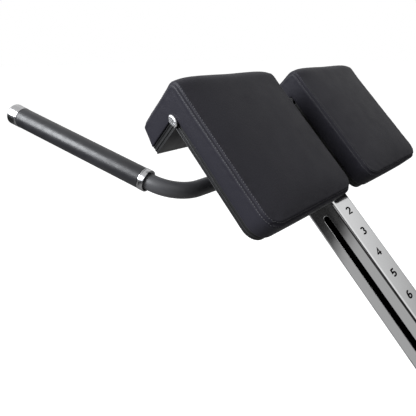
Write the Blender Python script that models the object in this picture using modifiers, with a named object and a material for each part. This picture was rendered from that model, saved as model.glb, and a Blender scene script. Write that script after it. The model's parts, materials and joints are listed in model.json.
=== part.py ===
"""A roman chair (45 degree back extension bench), modelled piece by piece.

World frame: metres, +Z up, +X to the user's right, +Y forward, towards the handles.
The origin is on the floor, in the middle of the base.

Most pieces belong to the incline, a frame turned 45 degrees about X whose origin is the fold
line of the hip pads: its X is the world's, its Y (written d) runs up along the post, and its
Z (written n) runs out of the pads' resting face.
"""
import math

import bmesh
import bpy
from mathutils import Matrix, Vector

# ---------------------------------------------------------------- driving dimensions
GAP = 0.0003                      # running or resting gap between neighbours
TILT = math.radians(45)
FOLD_Z = 1.000

# Base; its reaches are measured back from the fold line of the pads
REAR_REACH = 1.000
FRONT_REACH = 0.090
BEAM_SIZE = 0.060
BEAM_WALL = 0.0025
SHOE_HEIGHT = 0.012
SHOE_LID = 0.006
SHOE_PAD = 0.060
FRONT_FOOT_HALF = 0.160
REAR_FOOT_HALF = 0.320
STRUT_SIZE = 0.050
FRONT_STRUT_TOP_D = -0.700
FRONT_STRUT_LEAN = math.radians(26)
LOWER_STRUT_REACH = 0.630
REAR_STRUT_REACH = 0.865

# Post, sleeve and their adjustment
POST_SIZE = 0.060
POST_WALL = 0.003
POST_CORNER = 0.006
POST_TOP = -0.055
POST_BOTTOM = -0.740
POST_FACE_N = -0.0085             # the numbered face lies this far under the pads' backing
POST_N = POST_FACE_N - POST_SIZE / 2
HOLE_PITCH = 0.044
HOLE_RADIUS = 0.006
STATION_D = -0.660                # where the pop-pin and the guide bolt sit
HOLES_ABOVE = 7
HOLES_BELOW = 1
SLOT_WIDTH = 0.013
SLOT_TOP = -0.275
SLOT_BOTTOM = -0.706
SLEEVE_SIZE = 0.070
SLEEVE_WALL = 0.003
SLEEVE_TOP = -0.610
SLEEVE_BOTTOM = -1.055
LINER_DEPTH = 0.034
LINER_LIP = 0.008
FLANGE_HALF = 0.058
FLANGE_RISE = 0.012               # the flange's centre lies this far above the sleeve's

# Hip pads
PAD_WIDTH = 0.2407
PAD_SPACING = 0.0714
PAD_LENGTH = 0.2565
PAD_TOP_N = 0.0492
FLAP_BOTTOM_N = -0.0645
FLAP_SLANT = 0.0095               # the cushion's outer edge ends this far above its inner one
FOLD_ROUND = 0.020
FLAP_THICK = 0.0505
BOARD_THICK = 0.0125
BOARD_INSET = 0.0025              # the boards' edges lie this far inside the cushion's
BOARD_LOW_INSET = 0.003
BOARD_HIGH_D = -0.0503            # the pad board's end at the corner rod
BOARD_EASE = 0.0018
FLAP_BOARD_CORNER = 0.004
PAD_CORNER = 0.028
FOAM_BACK_N = 0.0140
FOAM_BACK_D = -0.0355
PAD_INNER_X = PAD_SPACING / 2
PAD_OUTER_X = PAD_INNER_X + PAD_WIDTH
CORNER_ROD_D = -0.0420
CORNER_ROD_N = 0.0076
CORNER_ROD_RADIUS = 0.0058
CORNER_CAP_RADIUS = 0.0105
PLATE_THICK = 0.0079
PLATE_BANDS = ((-0.235, -0.180), (-0.130, -0.075))
PLATE_HALF = 0.245

# Handlebar
BAR_RADIUS = 0.014
BAR_WALL = 0.002
BAR_D = -0.120
BAR_BEND = 0.065
BAR_CORNER_X = 0.269
GRIP_DIRECTION = Vector((0.273, 0.917, 0.313)).normalized()
GRIP_START = 0.066                # from the bend's corner point
GRIP_LENGTH = 0.268
GRIP_RADIUS = 0.01825
RING_RADIUS = 0.0198
INNER_RING = 0.011
END_RING = 0.021
END_RING_EASE = 0.002
SADDLE_HALF_X = 0.029
SADDLE_HALF_D = 0.024
SADDLE_DEPTH = 0.018              # below the bar's centre line

# Ankle rollers and foot plate
MAST_D = -0.945
MAST_SIZE = 0.040
MAST_TOP = 0.292
LOWER_ROLLER_N = 0.045
UPPER_ROLLER_N = 0.250
ROLLER_RADIUS = 0.045
ROLLER_BORE = 0.0135
ROLLER_START = 0.032
ROLLER_LENGTH = 0.165
AXLE_RADIUS = 0.0127
AXLE_HALF = 0.204
WASHER_RADIUS = 0.0190
PLATE_TOP_D = -1.0625
TREAD_THICK = 0.005
TREAD_LOW_N = -0.085
TREAD_HIGH_N = 0.222
TREAD_HALF = 0.215
MAT_THICK = 0.004
MAT_INNER_X = 0.066
MAT_MARGIN = 0.010

SIDES = {"left": -1, "right": 1}

# The handles' ends are the foremost point and the rear foot the rearmost; the origin is midway.
BAR_N = POST_N - POST_SIZE / 2 - BAR_RADIUS - GAP
BAR_Y = (BAR_D - BAR_N) * math.cos(TILT)
BAR_REACH = GRIP_START + GRIP_LENGTH + END_RING
RING_Y = (RING_RADIUS - END_RING_EASE) * math.sqrt(1 - GRIP_DIRECTION.y ** 2)
FOLD_Y = (REAR_REACH - (BAR_Y + BAR_REACH * GRIP_DIRECTION.y + RING_Y)) / 2

# ---------------------------------------------------------------- scene and materials
for old in list(bpy.data.objects):
    bpy.data.objects.remove(old, do_unlink=True)

PARTS = bpy.data.collections.new("roman_chair")
CUTTERS = bpy.data.collections.new("cutters")
for collection in (PARTS, CUTTERS):
    bpy.context.scene.collection.children.link(collection)


def material(name, colour, metallic, roughness):
    """A Principled material with one colour."""
    made = bpy.data.materials.new(name)
    made.use_nodes = True
    shader = made.node_tree.nodes["Principled BSDF"]
    shader.inputs["Base Color"].default_value = (*colour, 1)
    shader.inputs["Metallic"].default_value = metallic
    shader.inputs["Roughness"].default_value = roughness
    made.diffuse_color = (*colour, 1)
    return made


BLACK_PAINT = material("black_powder_coat", (0.018, 0.018, 0.020), 0.0, 0.42)
CHROME = material("chrome", (0.80, 0.81, 0.82), 1.0, 0.14)
LEATHERETTE = material("black_leatherette", (0.030, 0.030, 0.034), 0.0, 0.55)
BOARD = material("pad_backing", (0.022, 0.022, 0.023), 0.0, 0.45)
RUBBER = material("grip_rubber", (0.028, 0.028, 0.030), 0.0, 0.60)
FOAM = material("roller_foam", (0.020, 0.020, 0.021), 0.0, 0.85)
PLASTIC = material("black_plastic", (0.020, 0.020, 0.021), 0.0, 0.50)
ZINC = material("zinc_steel", (0.62, 0.62, 0.60), 1.0, 0.32)
POLISHED = material("polished_aluminium", (0.86, 0.86, 0.87), 1.0, 0.16)


def frame_empty(name, matrix):
    """An empty that pieces are parented to."""
    empty = bpy.data.objects.new(name, None)
    empty.matrix_world = matrix
    PARTS.objects.link(empty)
    return empty


INCLINE = Matrix.Translation((0, FOLD_Y, FOLD_Z)) @ Matrix.Rotation(TILT, 4, "X")
WORLD = frame_empty("base_frame", Matrix.Identity(4))
FIXED = frame_empty("incline_frame", INCLINE)
CARRIAGE = frame_empty("post_slide_axis", INCLINE)
PIN_AXIS = frame_empty("pin_pull_axis", INCLINE @ Matrix.Translation((0, STATION_D, POST_N)))


# ---------------------------------------------------------------- modelling helpers
def keep(name, mesh, skin, parent, smooth=True):
    """Make an object of a mesh, in its parent's space."""
    made = bpy.data.objects.new(name, mesh)
    made.parent = parent
    if skin is None:
        CUTTERS.objects.link(made)
        made.hide_render = True
        made.display_type = "WIRE"
    else:
        PARTS.objects.link(made)
        mesh.materials.append(skin)
        if smooth:
            mesh.shade_smooth()
            mesh.set_sharp_from_angle(angle=math.radians(32))
    return made


def to_mesh(name, shape):
    """Turn a bmesh into a mesh."""
    bmesh.ops.recalc_face_normals(shape, faces=shape.faces)
    mesh = bpy.data.meshes.new(name)
    shape.to_mesh(mesh)
    shape.free()
    return mesh


def block(shape, low, high):
    """Add a box between two corners to a bmesh, and return its edges."""
    low = Vector(low)
    high = Vector(high)
    middle = Matrix.Translation((low + high) / 2)
    size = Matrix.Diagonal((*(high - low), 1))
    verts = bmesh.ops.create_cube(shape, size=1, matrix=middle @ size)["verts"]
    return list({edge for vert in verts for edge in vert.link_edges})


def round_edges(shape, edges, width, segments):
    """Round some edges of a bmesh."""
    if width > 0:
        bmesh.ops.bevel(shape, geom=edges, offset=width, segments=segments, profile=0.5,
                        affect="EDGES", clamp_overlap=True)


def along(edges, axis):
    """The edges that run along one axis (0, 1 or 2)."""
    picked = []
    for edge in edges:
        run = (edge.verts[1].co - edge.verts[0].co).normalized()
        if abs(run[axis]) > 0.999:
            picked.append(edge)
    return picked


def box(name, low, high, skin, parent, bevel=0.0, segments=2):
    """A box with all its edges rounded."""
    shape = bmesh.new()
    edges = block(shape, low, high)
    round_edges(shape, edges, bevel, segments)
    return keep(name, to_mesh(name, shape), skin, parent)


def bar(name, low, high, axis, corner, skin, parent, segments=3):
    """A bar whose four long edges are rounded."""
    shape = bmesh.new()
    edges = block(shape, low, high)
    round_edges(shape, along(edges, axis), corner, segments)
    return keep(name, to_mesh(name, shape), skin, parent)


def add_rod(shape, start, end, radius, sides):
    """Add a round bar between two points to a bmesh."""
    start = Vector(start)
    end = Vector(end)
    run = end - start
    turn = run.to_track_quat("Z", "Y").to_matrix().to_4x4()
    bmesh.ops.create_cone(shape, cap_ends=True, segments=sides, radius1=radius, radius2=radius,
                          depth=run.length, matrix=Matrix.Translation((start + end) / 2) @ turn)


def rod(name, start, end, radius, skin, parent, sides=32):
    """A round bar between two points."""
    shape = bmesh.new()
    add_rod(shape, start, end, radius, sides)
    return keep(name, to_mesh(name, shape), skin, parent)


def drill(name, runs, radius, parent, sides=20):
    """One cutter for several round holes, each between two points."""
    shape = bmesh.new()
    for start, end in runs:
        add_rod(shape, start, end, radius, sides)
    return keep(name, to_mesh(name, shape), None, parent)


def boolean(target, tool, operation="DIFFERENCE"):
    """Cut, join or trim a piece with another."""
    step = target.modifiers.new(operation.lower(), "BOOLEAN")
    step.operation = operation
    step.solver = "EXACT"
    step.object = tool
    return target


def square_tube(name, low, high, axis, wall, corner, skin, parent):
    """A hollow bar, open at both ends."""
    tube = bar(name, low, high, axis, corner, skin, parent)
    inner_low = [value + wall for value in low]
    inner_high = [value - wall for value in high]
    inner_low[axis] = low[axis] - 0.01
    inner_high[axis] = high[axis] + 0.01
    hollow = bar(name + "_hollow", inner_low, inner_high, axis, max(corner - wall, 0.001), None, parent)
    return boolean(tube, hollow)


def turned(name, profile, skin, parent, place, direction, closed=False, steps=24):
    """A profile of (radius, height) points, running down its outer side, spun about its axis."""
    shape = bmesh.new()
    verts = [shape.verts.new((radius, 0, height)) for radius, height in profile]
    pairs = list(zip(verts, verts[1:]))
    if closed:
        pairs.append((verts[-1], verts[0]))
    for pair in pairs:
        shape.edges.new(pair)
    mesh = bpy.data.meshes.new(name)
    shape.to_mesh(mesh)
    shape.free()
    made = keep(name, mesh, skin, parent)
    turn = Vector(direction).to_track_quat("Z", "Y").to_matrix().to_4x4()
    made.matrix_local = Matrix.Translation(place) @ turn
    screw = made.modifiers.new("turn", "SCREW")
    screw.axis = "Z"
    screw.steps = steps
    screw.render_steps = steps
    screw.use_merge_vertices = True
    screw.merge_threshold = 0.00001
    screw.use_smooth_shade = True
    return made


def ring_profile(inner, outer, low, high, ease):
    """The closed section of a ring with eased outer edges."""
    return [(inner, high), (outer - ease, high), (outer, high - ease),
            (outer, low + ease), (outer - ease, low), (inner, low)]


# ---------------------------------------------------------------- base on the floor
BEAM_LOW = SHOE_HEIGHT
BEAM_HIGH = SHOE_HEIGHT + BEAM_SIZE
FRONT_Y = FOLD_Y - FRONT_REACH - BEAM_SIZE / 2
REAR_Y = FOLD_Y - REAR_REACH + BEAM_SIZE / 2


def base_frame():
    """The long beam, the two cross feet and the moulded rubber shoe on each end of the feet."""
    half = BEAM_SIZE / 2
    rear_end = REAR_Y + half + GAP
    front_end = FRONT_Y - half - GAP
    square_tube("base_beam", (-half, rear_end, BEAM_LOW), (half, front_end, BEAM_HIGH), 1,
                BEAM_WALL, 0.005, BLACK_PAINT, WORLD)
    for end, span, middle in (("front", FRONT_FOOT_HALF, FRONT_Y), ("rear", REAR_FOOT_HALF, REAR_Y)):
        square_tube(f"{end}_foot_tube", (-span, middle - half, BEAM_LOW),
                    (span, middle + half, BEAM_HIGH), 0, BEAM_WALL, 0.005, BLACK_PAINT, WORLD)
        for hand, sign in SIDES.items():
            shoe(f"{end}_shoe_{hand}", sign, span, middle)


def shoe(name, sign, span, middle):
    """A rubber shoe: a lid on the tube's end, a plug inside it and a pad under it."""
    half = BEAM_SIZE / 2
    lid = sorted((sign * (span + GAP), sign * (span + SHOE_LID)))
    pad = sorted((sign * (span - SHOE_PAD), sign * (span + SHOE_LID)))
    plug = sorted((sign * (span - 0.020), sign * (span + 0.002)))
    inner = BEAM_WALL + 0.0006
    body = bar(name, (lid[0], middle - half, 0), (lid[1], middle + half, BEAM_HIGH), 0, 0.004,
               RUBBER, WORLD)
    sole = box(name + "_sole", (pad[0], middle - half, 0), (pad[1], middle + half, BEAM_LOW - GAP),
               None, WORLD, bevel=0.003)
    boolean(body, sole, "UNION")
    boolean(body, bar(name + "_plug", (plug[0], middle - half + inner, BEAM_LOW + inner),
                      (plug[1], middle + half - inner, BEAM_HIGH - inner), 0, 0.002, None, WORLD,
                      segments=2), "UNION")


def struts():
    """The three struts between the base beam and the inclined sleeve and foot plate."""
    half = STRUT_SIZE / 2
    floor = BEAM_HIGH + GAP
    beam_top = box("beam_top_cut", (-0.2, -1, floor - 0.2), (0.2, 1, floor), None, WORLD)
    sleeve_under = POST_N - SLEEVE_SIZE / 2 - GAP
    sleeve_cut = box("sleeve_cut", (-0.2, SLEEVE_BOTTOM - 0.2, sleeve_under),
                     (0.2, SLEEVE_TOP + 0.2, sleeve_under + 0.3), None, FIXED)
    under_plate = PLATE_TOP_D - TREAD_THICK - GAP
    plate_cut = box("tread_cut", (-0.3, under_plate, -0.4), (0.3, under_plate + 0.4, 0.4), None, FIXED)

    start = INCLINE @ Vector((0, FRONT_STRUT_TOP_D, sleeve_under))
    lean = frame_empty("front_strut_frame",
                       Matrix.Translation(start) @ Matrix.Rotation(FRONT_STRUT_LEAN, 4, "X"))
    front = square_tube("front_strut", (-half, -half, -0.60), (half, half, 0.08),
                        2, BEAM_WALL, 0.005, BLACK_PAINT, lean)
    boolean(front, beam_top)
    boolean(front, sleeve_cut)
    for name, reach, cut in (("lower_strut", LOWER_STRUT_REACH, sleeve_cut),
                             ("rear_strut", REAR_STRUT_REACH, plate_cut)):
        middle = FOLD_Y - reach
        boolean(square_tube(name, (-half, middle - half, floor), (half, middle + half, 0.50),
                            2, BEAM_WALL, 0.005, BLACK_PAINT, WORLD), cut)


# ---------------------------------------------------------------- sleeve, liner and pop-pin
def sleeve():
    """The square sleeve that the post slides in, its plastic liner, lid and guide bolt."""
    half = SLEEVE_SIZE / 2
    tube = square_tube("post_sleeve", (-half, SLEEVE_BOTTOM, POST_N - half),
                       (half, SLEEVE_TOP, POST_N + half), 1, SLEEVE_WALL, 0.007, BLACK_PAINT, FIXED)
    station = (STATION_D, POST_N)
    boolean(tube, rod("sleeve_bolt_hole", (-0.06, *station), (-0.01, *station), 0.0054, None, FIXED))
    boolean(tube, rod("sleeve_pin_hole", (0.01, *station), (0.06, *station), 0.0052, None, FIXED))

    inner = POST_SIZE / 2 + GAP
    insert = half - SLEEVE_WALL - GAP
    lip_low = SLEEVE_TOP + GAP
    liner = bar("sleeve_liner", (-insert, SLEEVE_TOP - LINER_DEPTH, POST_N - insert),
                (insert, lip_low + LINER_LIP / 2, POST_N + insert), 1, 0.005, PLASTIC, FIXED)
    lip = bar("liner_lip", (-half - 0.002, lip_low, POST_N - half - 0.002),
              (half + 0.002, lip_low + LINER_LIP, POST_N + half + 0.002), 1, 0.008, None, FIXED)
    boolean(liner, lip, "UNION")
    boolean(liner, bar("liner_bore", (-inner, SLEEVE_TOP - 0.1, POST_N - inner),
                       (inner, SLEEVE_TOP + 0.1, POST_N + inner), 1, POST_CORNER, None, FIXED))

    flange_n = POST_N + FLANGE_RISE
    box("sleeve_flange", (-FLANGE_HALF, PLATE_TOP_D + GAP, flange_n - FLANGE_HALF),
        (FLANGE_HALF, SLEEVE_BOTTOM - GAP, flange_n + FLANGE_HALF), BLACK_PAINT, FIXED, bevel=0.0015)

    outside = -half - GAP
    bolt = turned("guide_bolt", [(0, 0.0068), (0.0078, 0.0068), (0.0092, 0.0054), (0.0092, 0),
                                 (0.0050, 0), (0.0050, -0.0105), (0.0042, -0.0115), (0, -0.0115)],
                  ZINC, FIXED, (outside, *station), (-1, 0, 0), steps=24)
    socket = rod("bolt_socket", (outside - 0.012, *station), (outside - 0.0038, *station),
                 0.0040, None, FIXED, sides=6)
    boolean(bolt, socket)


def pop_pin():
    """The spring-loaded pin on the right: housing, plunger, knob and spring."""
    face = SLEEVE_SIZE / 2 + GAP
    nose = POST_SIZE / 2 + 0.0008
    mouth = face + 0.026
    turned("pin_housing", [(0.0062, mouth), (0.0098, mouth), (0.0108, mouth - 0.001),
                           (0.0108, face + 0.009), (0.0155, face + 0.009), (0.0160, face + 0.0085),
                           (0.0160, face), (0.0088, face), (0.0088, mouth - 0.004),
                           (0.0062, mouth - 0.004)],
           ZINC, FIXED, (0, STATION_D, POST_N), (1, 0, 0), closed=True, steps=24)
    knob_low = mouth + 0.0006
    turned("pin_plunger", [(0, knob_low + 0.012), (0.0042, knob_low + 0.012), (0.0042, face + 0.0085),
                           (0.0080, face + 0.0085), (0.0080, face + 0.0060), (0.0048, face + 0.0060),
                           (0.0048, nose + 0.0010), (0.0040, nose), (0, nose)],
           ZINC, PIN_AXIS, (0, 0, 0), (1, 0, 0), steps=24)
    bore = 0.0042 + GAP
    tip = knob_low + 0.0125
    turned("pin_knob", [(0, tip + 0.020), (0.0080, tip + 0.0195), (0.0150, tip + 0.0165),
                        (0.0190, tip + 0.0110), (0.0200, tip + 0.0050), (0.0185, tip - 0.0010),
                        (0.0130, tip - 0.0060), (0.0100, tip - 0.0095), (0.0098, knob_low),
                        (bore, knob_low), (bore, tip), (0, tip)],
           PLASTIC, PIN_AXIS, (0, 0, 0), (1, 0, 0), steps=24)
    spring("pin_spring", face + 0.0097, mouth - 0.0052, 0.0065, 0.0006, 3)


def spring(name, low, high, radius, wire, turns):
    """A compression spring along the pin's axis."""
    per_turn = 10
    path = bpy.data.curves.new(name, "CURVE")
    path.dimensions = "3D"
    path.bevel_depth = wire
    path.bevel_resolution = 1
    path.use_fill_caps = True
    line = path.splines.new("POLY")
    line.points.add(turns * per_turn)
    for index, point in enumerate(line.points):
        angle = math.tau * index / per_turn
        x = low + (high - low) * index / (turns * per_turn)
        point.co = (x, radius * math.cos(angle), radius * math.sin(angle), 1)
    coil = bpy.data.objects.new(name, path)
    PARTS.objects.link(coil)
    coil.parent = PIN_AXIS
    path.materials.append(ZINC)


# ---------------------------------------------------------------- ankle rollers and foot plate
def rollers():
    """The mast on the sleeve with two axles, four foam rollers and their end discs."""
    half = MAST_SIZE / 2
    sleeve_face = POST_N + SLEEVE_SIZE / 2 + GAP
    mast = square_tube("roller_mast", (-half, MAST_D - half, sleeve_face),
                       (half, MAST_D + half, MAST_TOP), 2, 0.0025, 0.004, BLACK_PAINT, FIXED)
    heights = {"lower": LOWER_ROLLER_N, "upper": UPPER_ROLLER_N}
    runs = [((-0.05, MAST_D, height), (0.05, MAST_D, height)) for height in heights.values()]
    boolean(mast, drill("axle_holes", runs, AXLE_RADIUS + GAP, FIXED, sides=28))
    washer_low = half + GAP
    washer_high = ROLLER_START - 0.0020
    half_axle = [(AXLE_RADIUS - 0.002, AXLE_HALF), (AXLE_RADIUS, AXLE_HALF), (AXLE_RADIUS, washer_high),
                 (WASHER_RADIUS, washer_high), (WASHER_RADIUS, washer_low), (AXLE_RADIUS, washer_low)]
    mirrored = [(radius, -height) for radius, height in reversed(half_axle)]
    for level, height in heights.items():
        centre = (MAST_D, height)
        turned(f"{level}_axle", half_axle + mirrored, CHROME, FIXED, (0, *centre), (1, 0, 0),
               closed=True, steps=24)
        for hand, sign in SIDES.items():
            axis = (sign, 0, 0)
            turned(f"{level}_roller_{hand}",
                   ring_profile(ROLLER_BORE, ROLLER_RADIUS, -ROLLER_LENGTH / 2, ROLLER_LENGTH / 2, 0.005),
                   FOAM, FIXED, (sign * (ROLLER_START + ROLLER_LENGTH / 2), *centre), axis,
                   closed=True, steps=24)
            low = AXLE_HALF + GAP
            stem = AXLE_RADIUS - 0.0025
            turned(f"{level}_disc_{hand}",
                   [(0, low + 0.0075), (0.012, low + 0.0070), (0.024, low + 0.0050),
                    (0.030, low + 0.0025), (0.030, low), (stem, low), (stem, low - 0.014), (0, low - 0.014)],
                   CHROME, FIXED, (0, *centre), axis, steps=24)
    lid = MAST_TOP + GAP
    cap = box("mast_cap", (-half, MAST_D - half, lid), (half, MAST_D + half, lid + 0.004),
              PLASTIC, FIXED, bevel=0.0015)
    edge = half - 0.003
    boolean(cap, bar("mast_cap_plug", (-edge, MAST_D - edge, MAST_TOP - 0.012),
                     (edge, MAST_D + edge, lid + 0.002), 2, 0.002, None, FIXED, segments=2), "UNION")


def foot_plate():
    """The plate that the user stands on and its two rubber mats."""
    bottom = PLATE_TOP_D - TREAD_THICK
    shape = bmesh.new()
    edges = block(shape, (-TREAD_HALF, bottom, TREAD_LOW_N), (TREAD_HALF, PLATE_TOP_D, TREAD_HIGH_N))
    round_edges(shape, along(edges, 1), 0.025, 6)
    keep("foot_plate", to_mesh("foot_plate", shape), BLACK_PAINT, FIXED)
    for hand, sign in SIDES.items():
        near = sign * MAT_INNER_X
        far = sign * (TREAD_HALF - MAT_MARGIN)
        shape = bmesh.new()
        top = PLATE_TOP_D + GAP
        edges = block(shape, (min(near, far), top, TREAD_LOW_N + MAT_MARGIN),
                      (max(near, far), top + MAT_THICK, TREAD_HIGH_N - MAT_MARGIN))
        round_edges(shape, along(edges, 1), 0.015, 4)
        keep(f"foot_mat_{hand}", to_mesh("foot_mat", shape), RUBBER, FIXED)


# ---------------------------------------------------------------- adjustable post
def post():
    """The numbered post with its row of holes, its long guide slot and its end plugs."""
    half = POST_SIZE / 2
    tube = square_tube("adjustment_post", (-half, POST_BOTTOM, POST_N - half),
                       (half, POST_TOP, POST_N + half), 1, POST_WALL, POST_CORNER, CHROME, CARRIAGE)
    rows = [STATION_D + step * HOLE_PITCH for step in range(-HOLES_BELOW, HOLES_ABOVE + 1)]
    boolean(tube, drill("post_holes", [((0.01, d, POST_N), (0.06, d, POST_N)) for d in rows],
                        HOLE_RADIUS, CARRIAGE, sides=16))
    shape = bmesh.new()
    edges = block(shape, (-0.06, SLOT_BOTTOM - SLOT_WIDTH / 2, POST_N - SLOT_WIDTH / 2),
                  (-0.01, SLOT_TOP + SLOT_WIDTH / 2, POST_N + SLOT_WIDTH / 2))
    round_edges(shape, along(edges, 0), SLOT_WIDTH / 2, 6)
    bmesh.ops.remove_doubles(shape, verts=shape.verts, dist=0.00001)
    boolean(tube, keep("post_slot", to_mesh("post_slot", shape), None, CARRIAGE))

    edge = half - POST_WALL - GAP
    top = POST_TOP + GAP
    cap = box("post_top_cap", (-half, top, POST_N - half), (half, top + 0.004, POST_N + half),
              PLASTIC, CARRIAGE, bevel=0.0015)
    boolean(cap, bar("top_cap_plug", (-edge, POST_TOP - 0.020, POST_N - edge),
                     (edge, top + 0.002, POST_N + edge), 1, 0.003, None, CARRIAGE), "UNION")
    low = POST_BOTTOM - GAP
    glide_edge = half + 0.0012
    glide = bar("post_glide", (-glide_edge, low - 0.006, POST_N - glide_edge),
                (glide_edge, low, POST_N + glide_edge), 1, 0.005, PLASTIC, CARRIAGE)
    boolean(glide, bar("glide_plug", (-edge, low - 0.003, POST_N - edge),
                       (edge, low + 0.011, POST_N + edge), 1, 0.003, None, CARRIAGE), "UNION")


# ---------------------------------------------------------------- hip pads
def pad_supports():
    """The two flat cross plates that carry the pads over the post."""
    for name, (low, high) in zip(("lower_cross_plate", "upper_cross_plate"), PLATE_BANDS):
        box(name, (-PLATE_HALF, low, -PLATE_THICK - GAP), (PLATE_HALF, high, -GAP), BLACK_PAINT,
            CARRIAGE, bevel=0.002)


def hip_pad(hand, sign):
    """One hip pad: two backing boards that meet at a corner rod, and the cushion over them."""
    edges_x = sorted((sign * PAD_INNER_X, sign * PAD_OUTER_X))
    low_x = edges_x[0] + BOARD_INSET
    high_x = edges_x[1] - BOARD_INSET

    shape = bmesh.new()
    edges = block(shape, (low_x, -PAD_LENGTH + BOARD_LOW_INSET, 0),
                  (high_x, BOARD_HIGH_D, BOARD_THICK))
    corners = [e for e in along(edges, 2) if e.verts[0].co.y < -0.2]
    round_edges(shape, corners, PAD_CORNER - BOARD_LOW_INSET, 6)
    rim = [e for e in shape.edges if abs(e.verts[0].co.z - e.verts[1].co.z) < 1e-6]
    round_edges(shape, rim, BOARD_EASE, 2)
    keep(f"pad_board_{hand}", to_mesh("pad_board", shape), BOARD, CARRIAGE)

    shape = bmesh.new()
    edges = block(shape, (low_x, -FLAP_THICK, FLAP_BOTTOM_N + 0.0005),
                  (high_x, -FLAP_THICK + BOARD_THICK, -GAP))
    corners = [e for e in along(edges, 1) if e.verts[0].co.z < -0.03]
    round_edges(shape, corners, FLAP_BOARD_CORNER, 4)
    rim = [e for e in shape.edges if abs(e.verts[0].co.y - e.verts[1].co.y) < 1e-6]
    round_edges(shape, rim, BOARD_EASE, 2)
    keep(f"flap_board_{hand}", to_mesh("flap_board", shape), BOARD, CARRIAGE)

    outer_low, outer_high = edges_x
    rod(f"corner_rod_{hand}", (outer_low, CORNER_ROD_D, CORNER_ROD_N),
        (outer_high, CORNER_ROD_D, CORNER_ROD_N), CORNER_ROD_RADIUS, BLACK_PAINT, CARRIAGE, sides=24)
    turned(f"corner_cap_{hand}", [(0, PAD_OUTER_X + 0.0036), (0.0080, PAD_OUTER_X + 0.0034),
                                  (0.0098, PAD_OUTER_X + 0.0026),
                                  (CORNER_CAP_RADIUS, PAD_OUTER_X + 0.0014),
                                  (CORNER_CAP_RADIUS, PAD_OUTER_X + GAP), (0, PAD_OUTER_X + GAP)],
           POLISHED, CARRIAGE, (0, CORNER_ROD_D, CORNER_ROD_N), (sign, 0, 0), steps=24)

    outline = [(-PAD_LENGTH, FOAM_BACK_N), (-PAD_LENGTH, PAD_TOP_N), (0, PAD_TOP_N),
               (0, FLAP_BOTTOM_N + FLAP_SLANT), (FOAM_BACK_D, FLAP_BOTTOM_N), (FOAM_BACK_D, FOAM_BACK_N)]
    shape = bmesh.new()
    face = shape.faces.new([shape.verts.new((edges_x[0], d, n)) for d, n in outline])
    grown = bmesh.ops.extrude_face_region(shape, geom=[face])["geom"]
    bmesh.ops.translate(shape, vec=(PAD_WIDTH, 0, 0),
                        verts=[item for item in grown if isinstance(item, bmesh.types.BMVert)])
    fold = [e for e in along(shape.edges, 0)
            if all(abs(v.co.y) < 1e-6 and v.co.z > 0 for v in e.verts)]
    round_edges(shape, fold, FOLD_ROUND, 5)
    corners = [e for e in along(shape.edges, 2) if e.verts[0].co.y < -0.2]
    round_edges(shape, corners, PAD_CORNER, 5)
    keep(f"hip_pad_{hand}", to_mesh("hip_pad", shape), LEATHERETTE, CARRIAGE)


# ---------------------------------------------------------------- handlebar
BAR_WORLD = INCLINE @ Vector((0, BAR_D, BAR_N))


def bar_corner(sign):
    """The point where the bar's straight middle and one grip would meet."""
    return Vector((sign * BAR_CORNER_X, BAR_WORLD.y, BAR_WORLD.z))


def grip_direction(sign):
    """The way a grip points, outward and forward."""
    return Vector((sign * GRIP_DIRECTION.x, GRIP_DIRECTION.y, GRIP_DIRECTION.z))


def bend_points(sign, steps):
    """Points round one bend, from the straight middle towards the grip."""
    corner = bar_corner(sign)
    inward = Vector((-sign, 0, 0))
    outward = grip_direction(sign)
    half_angle = inward.angle(outward) / 2
    reach = BAR_BEND / math.tan(half_angle)
    centre = corner + (inward + outward).normalized() * BAR_BEND / math.sin(half_angle)
    first = (corner + inward * reach - centre).normalized()
    last = (corner + outward * reach - centre).normalized()
    points = []
    for index in range(steps + 1):
        points.append(centre + first.slerp(last, index / steps) * BAR_BEND)
    return points


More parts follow.
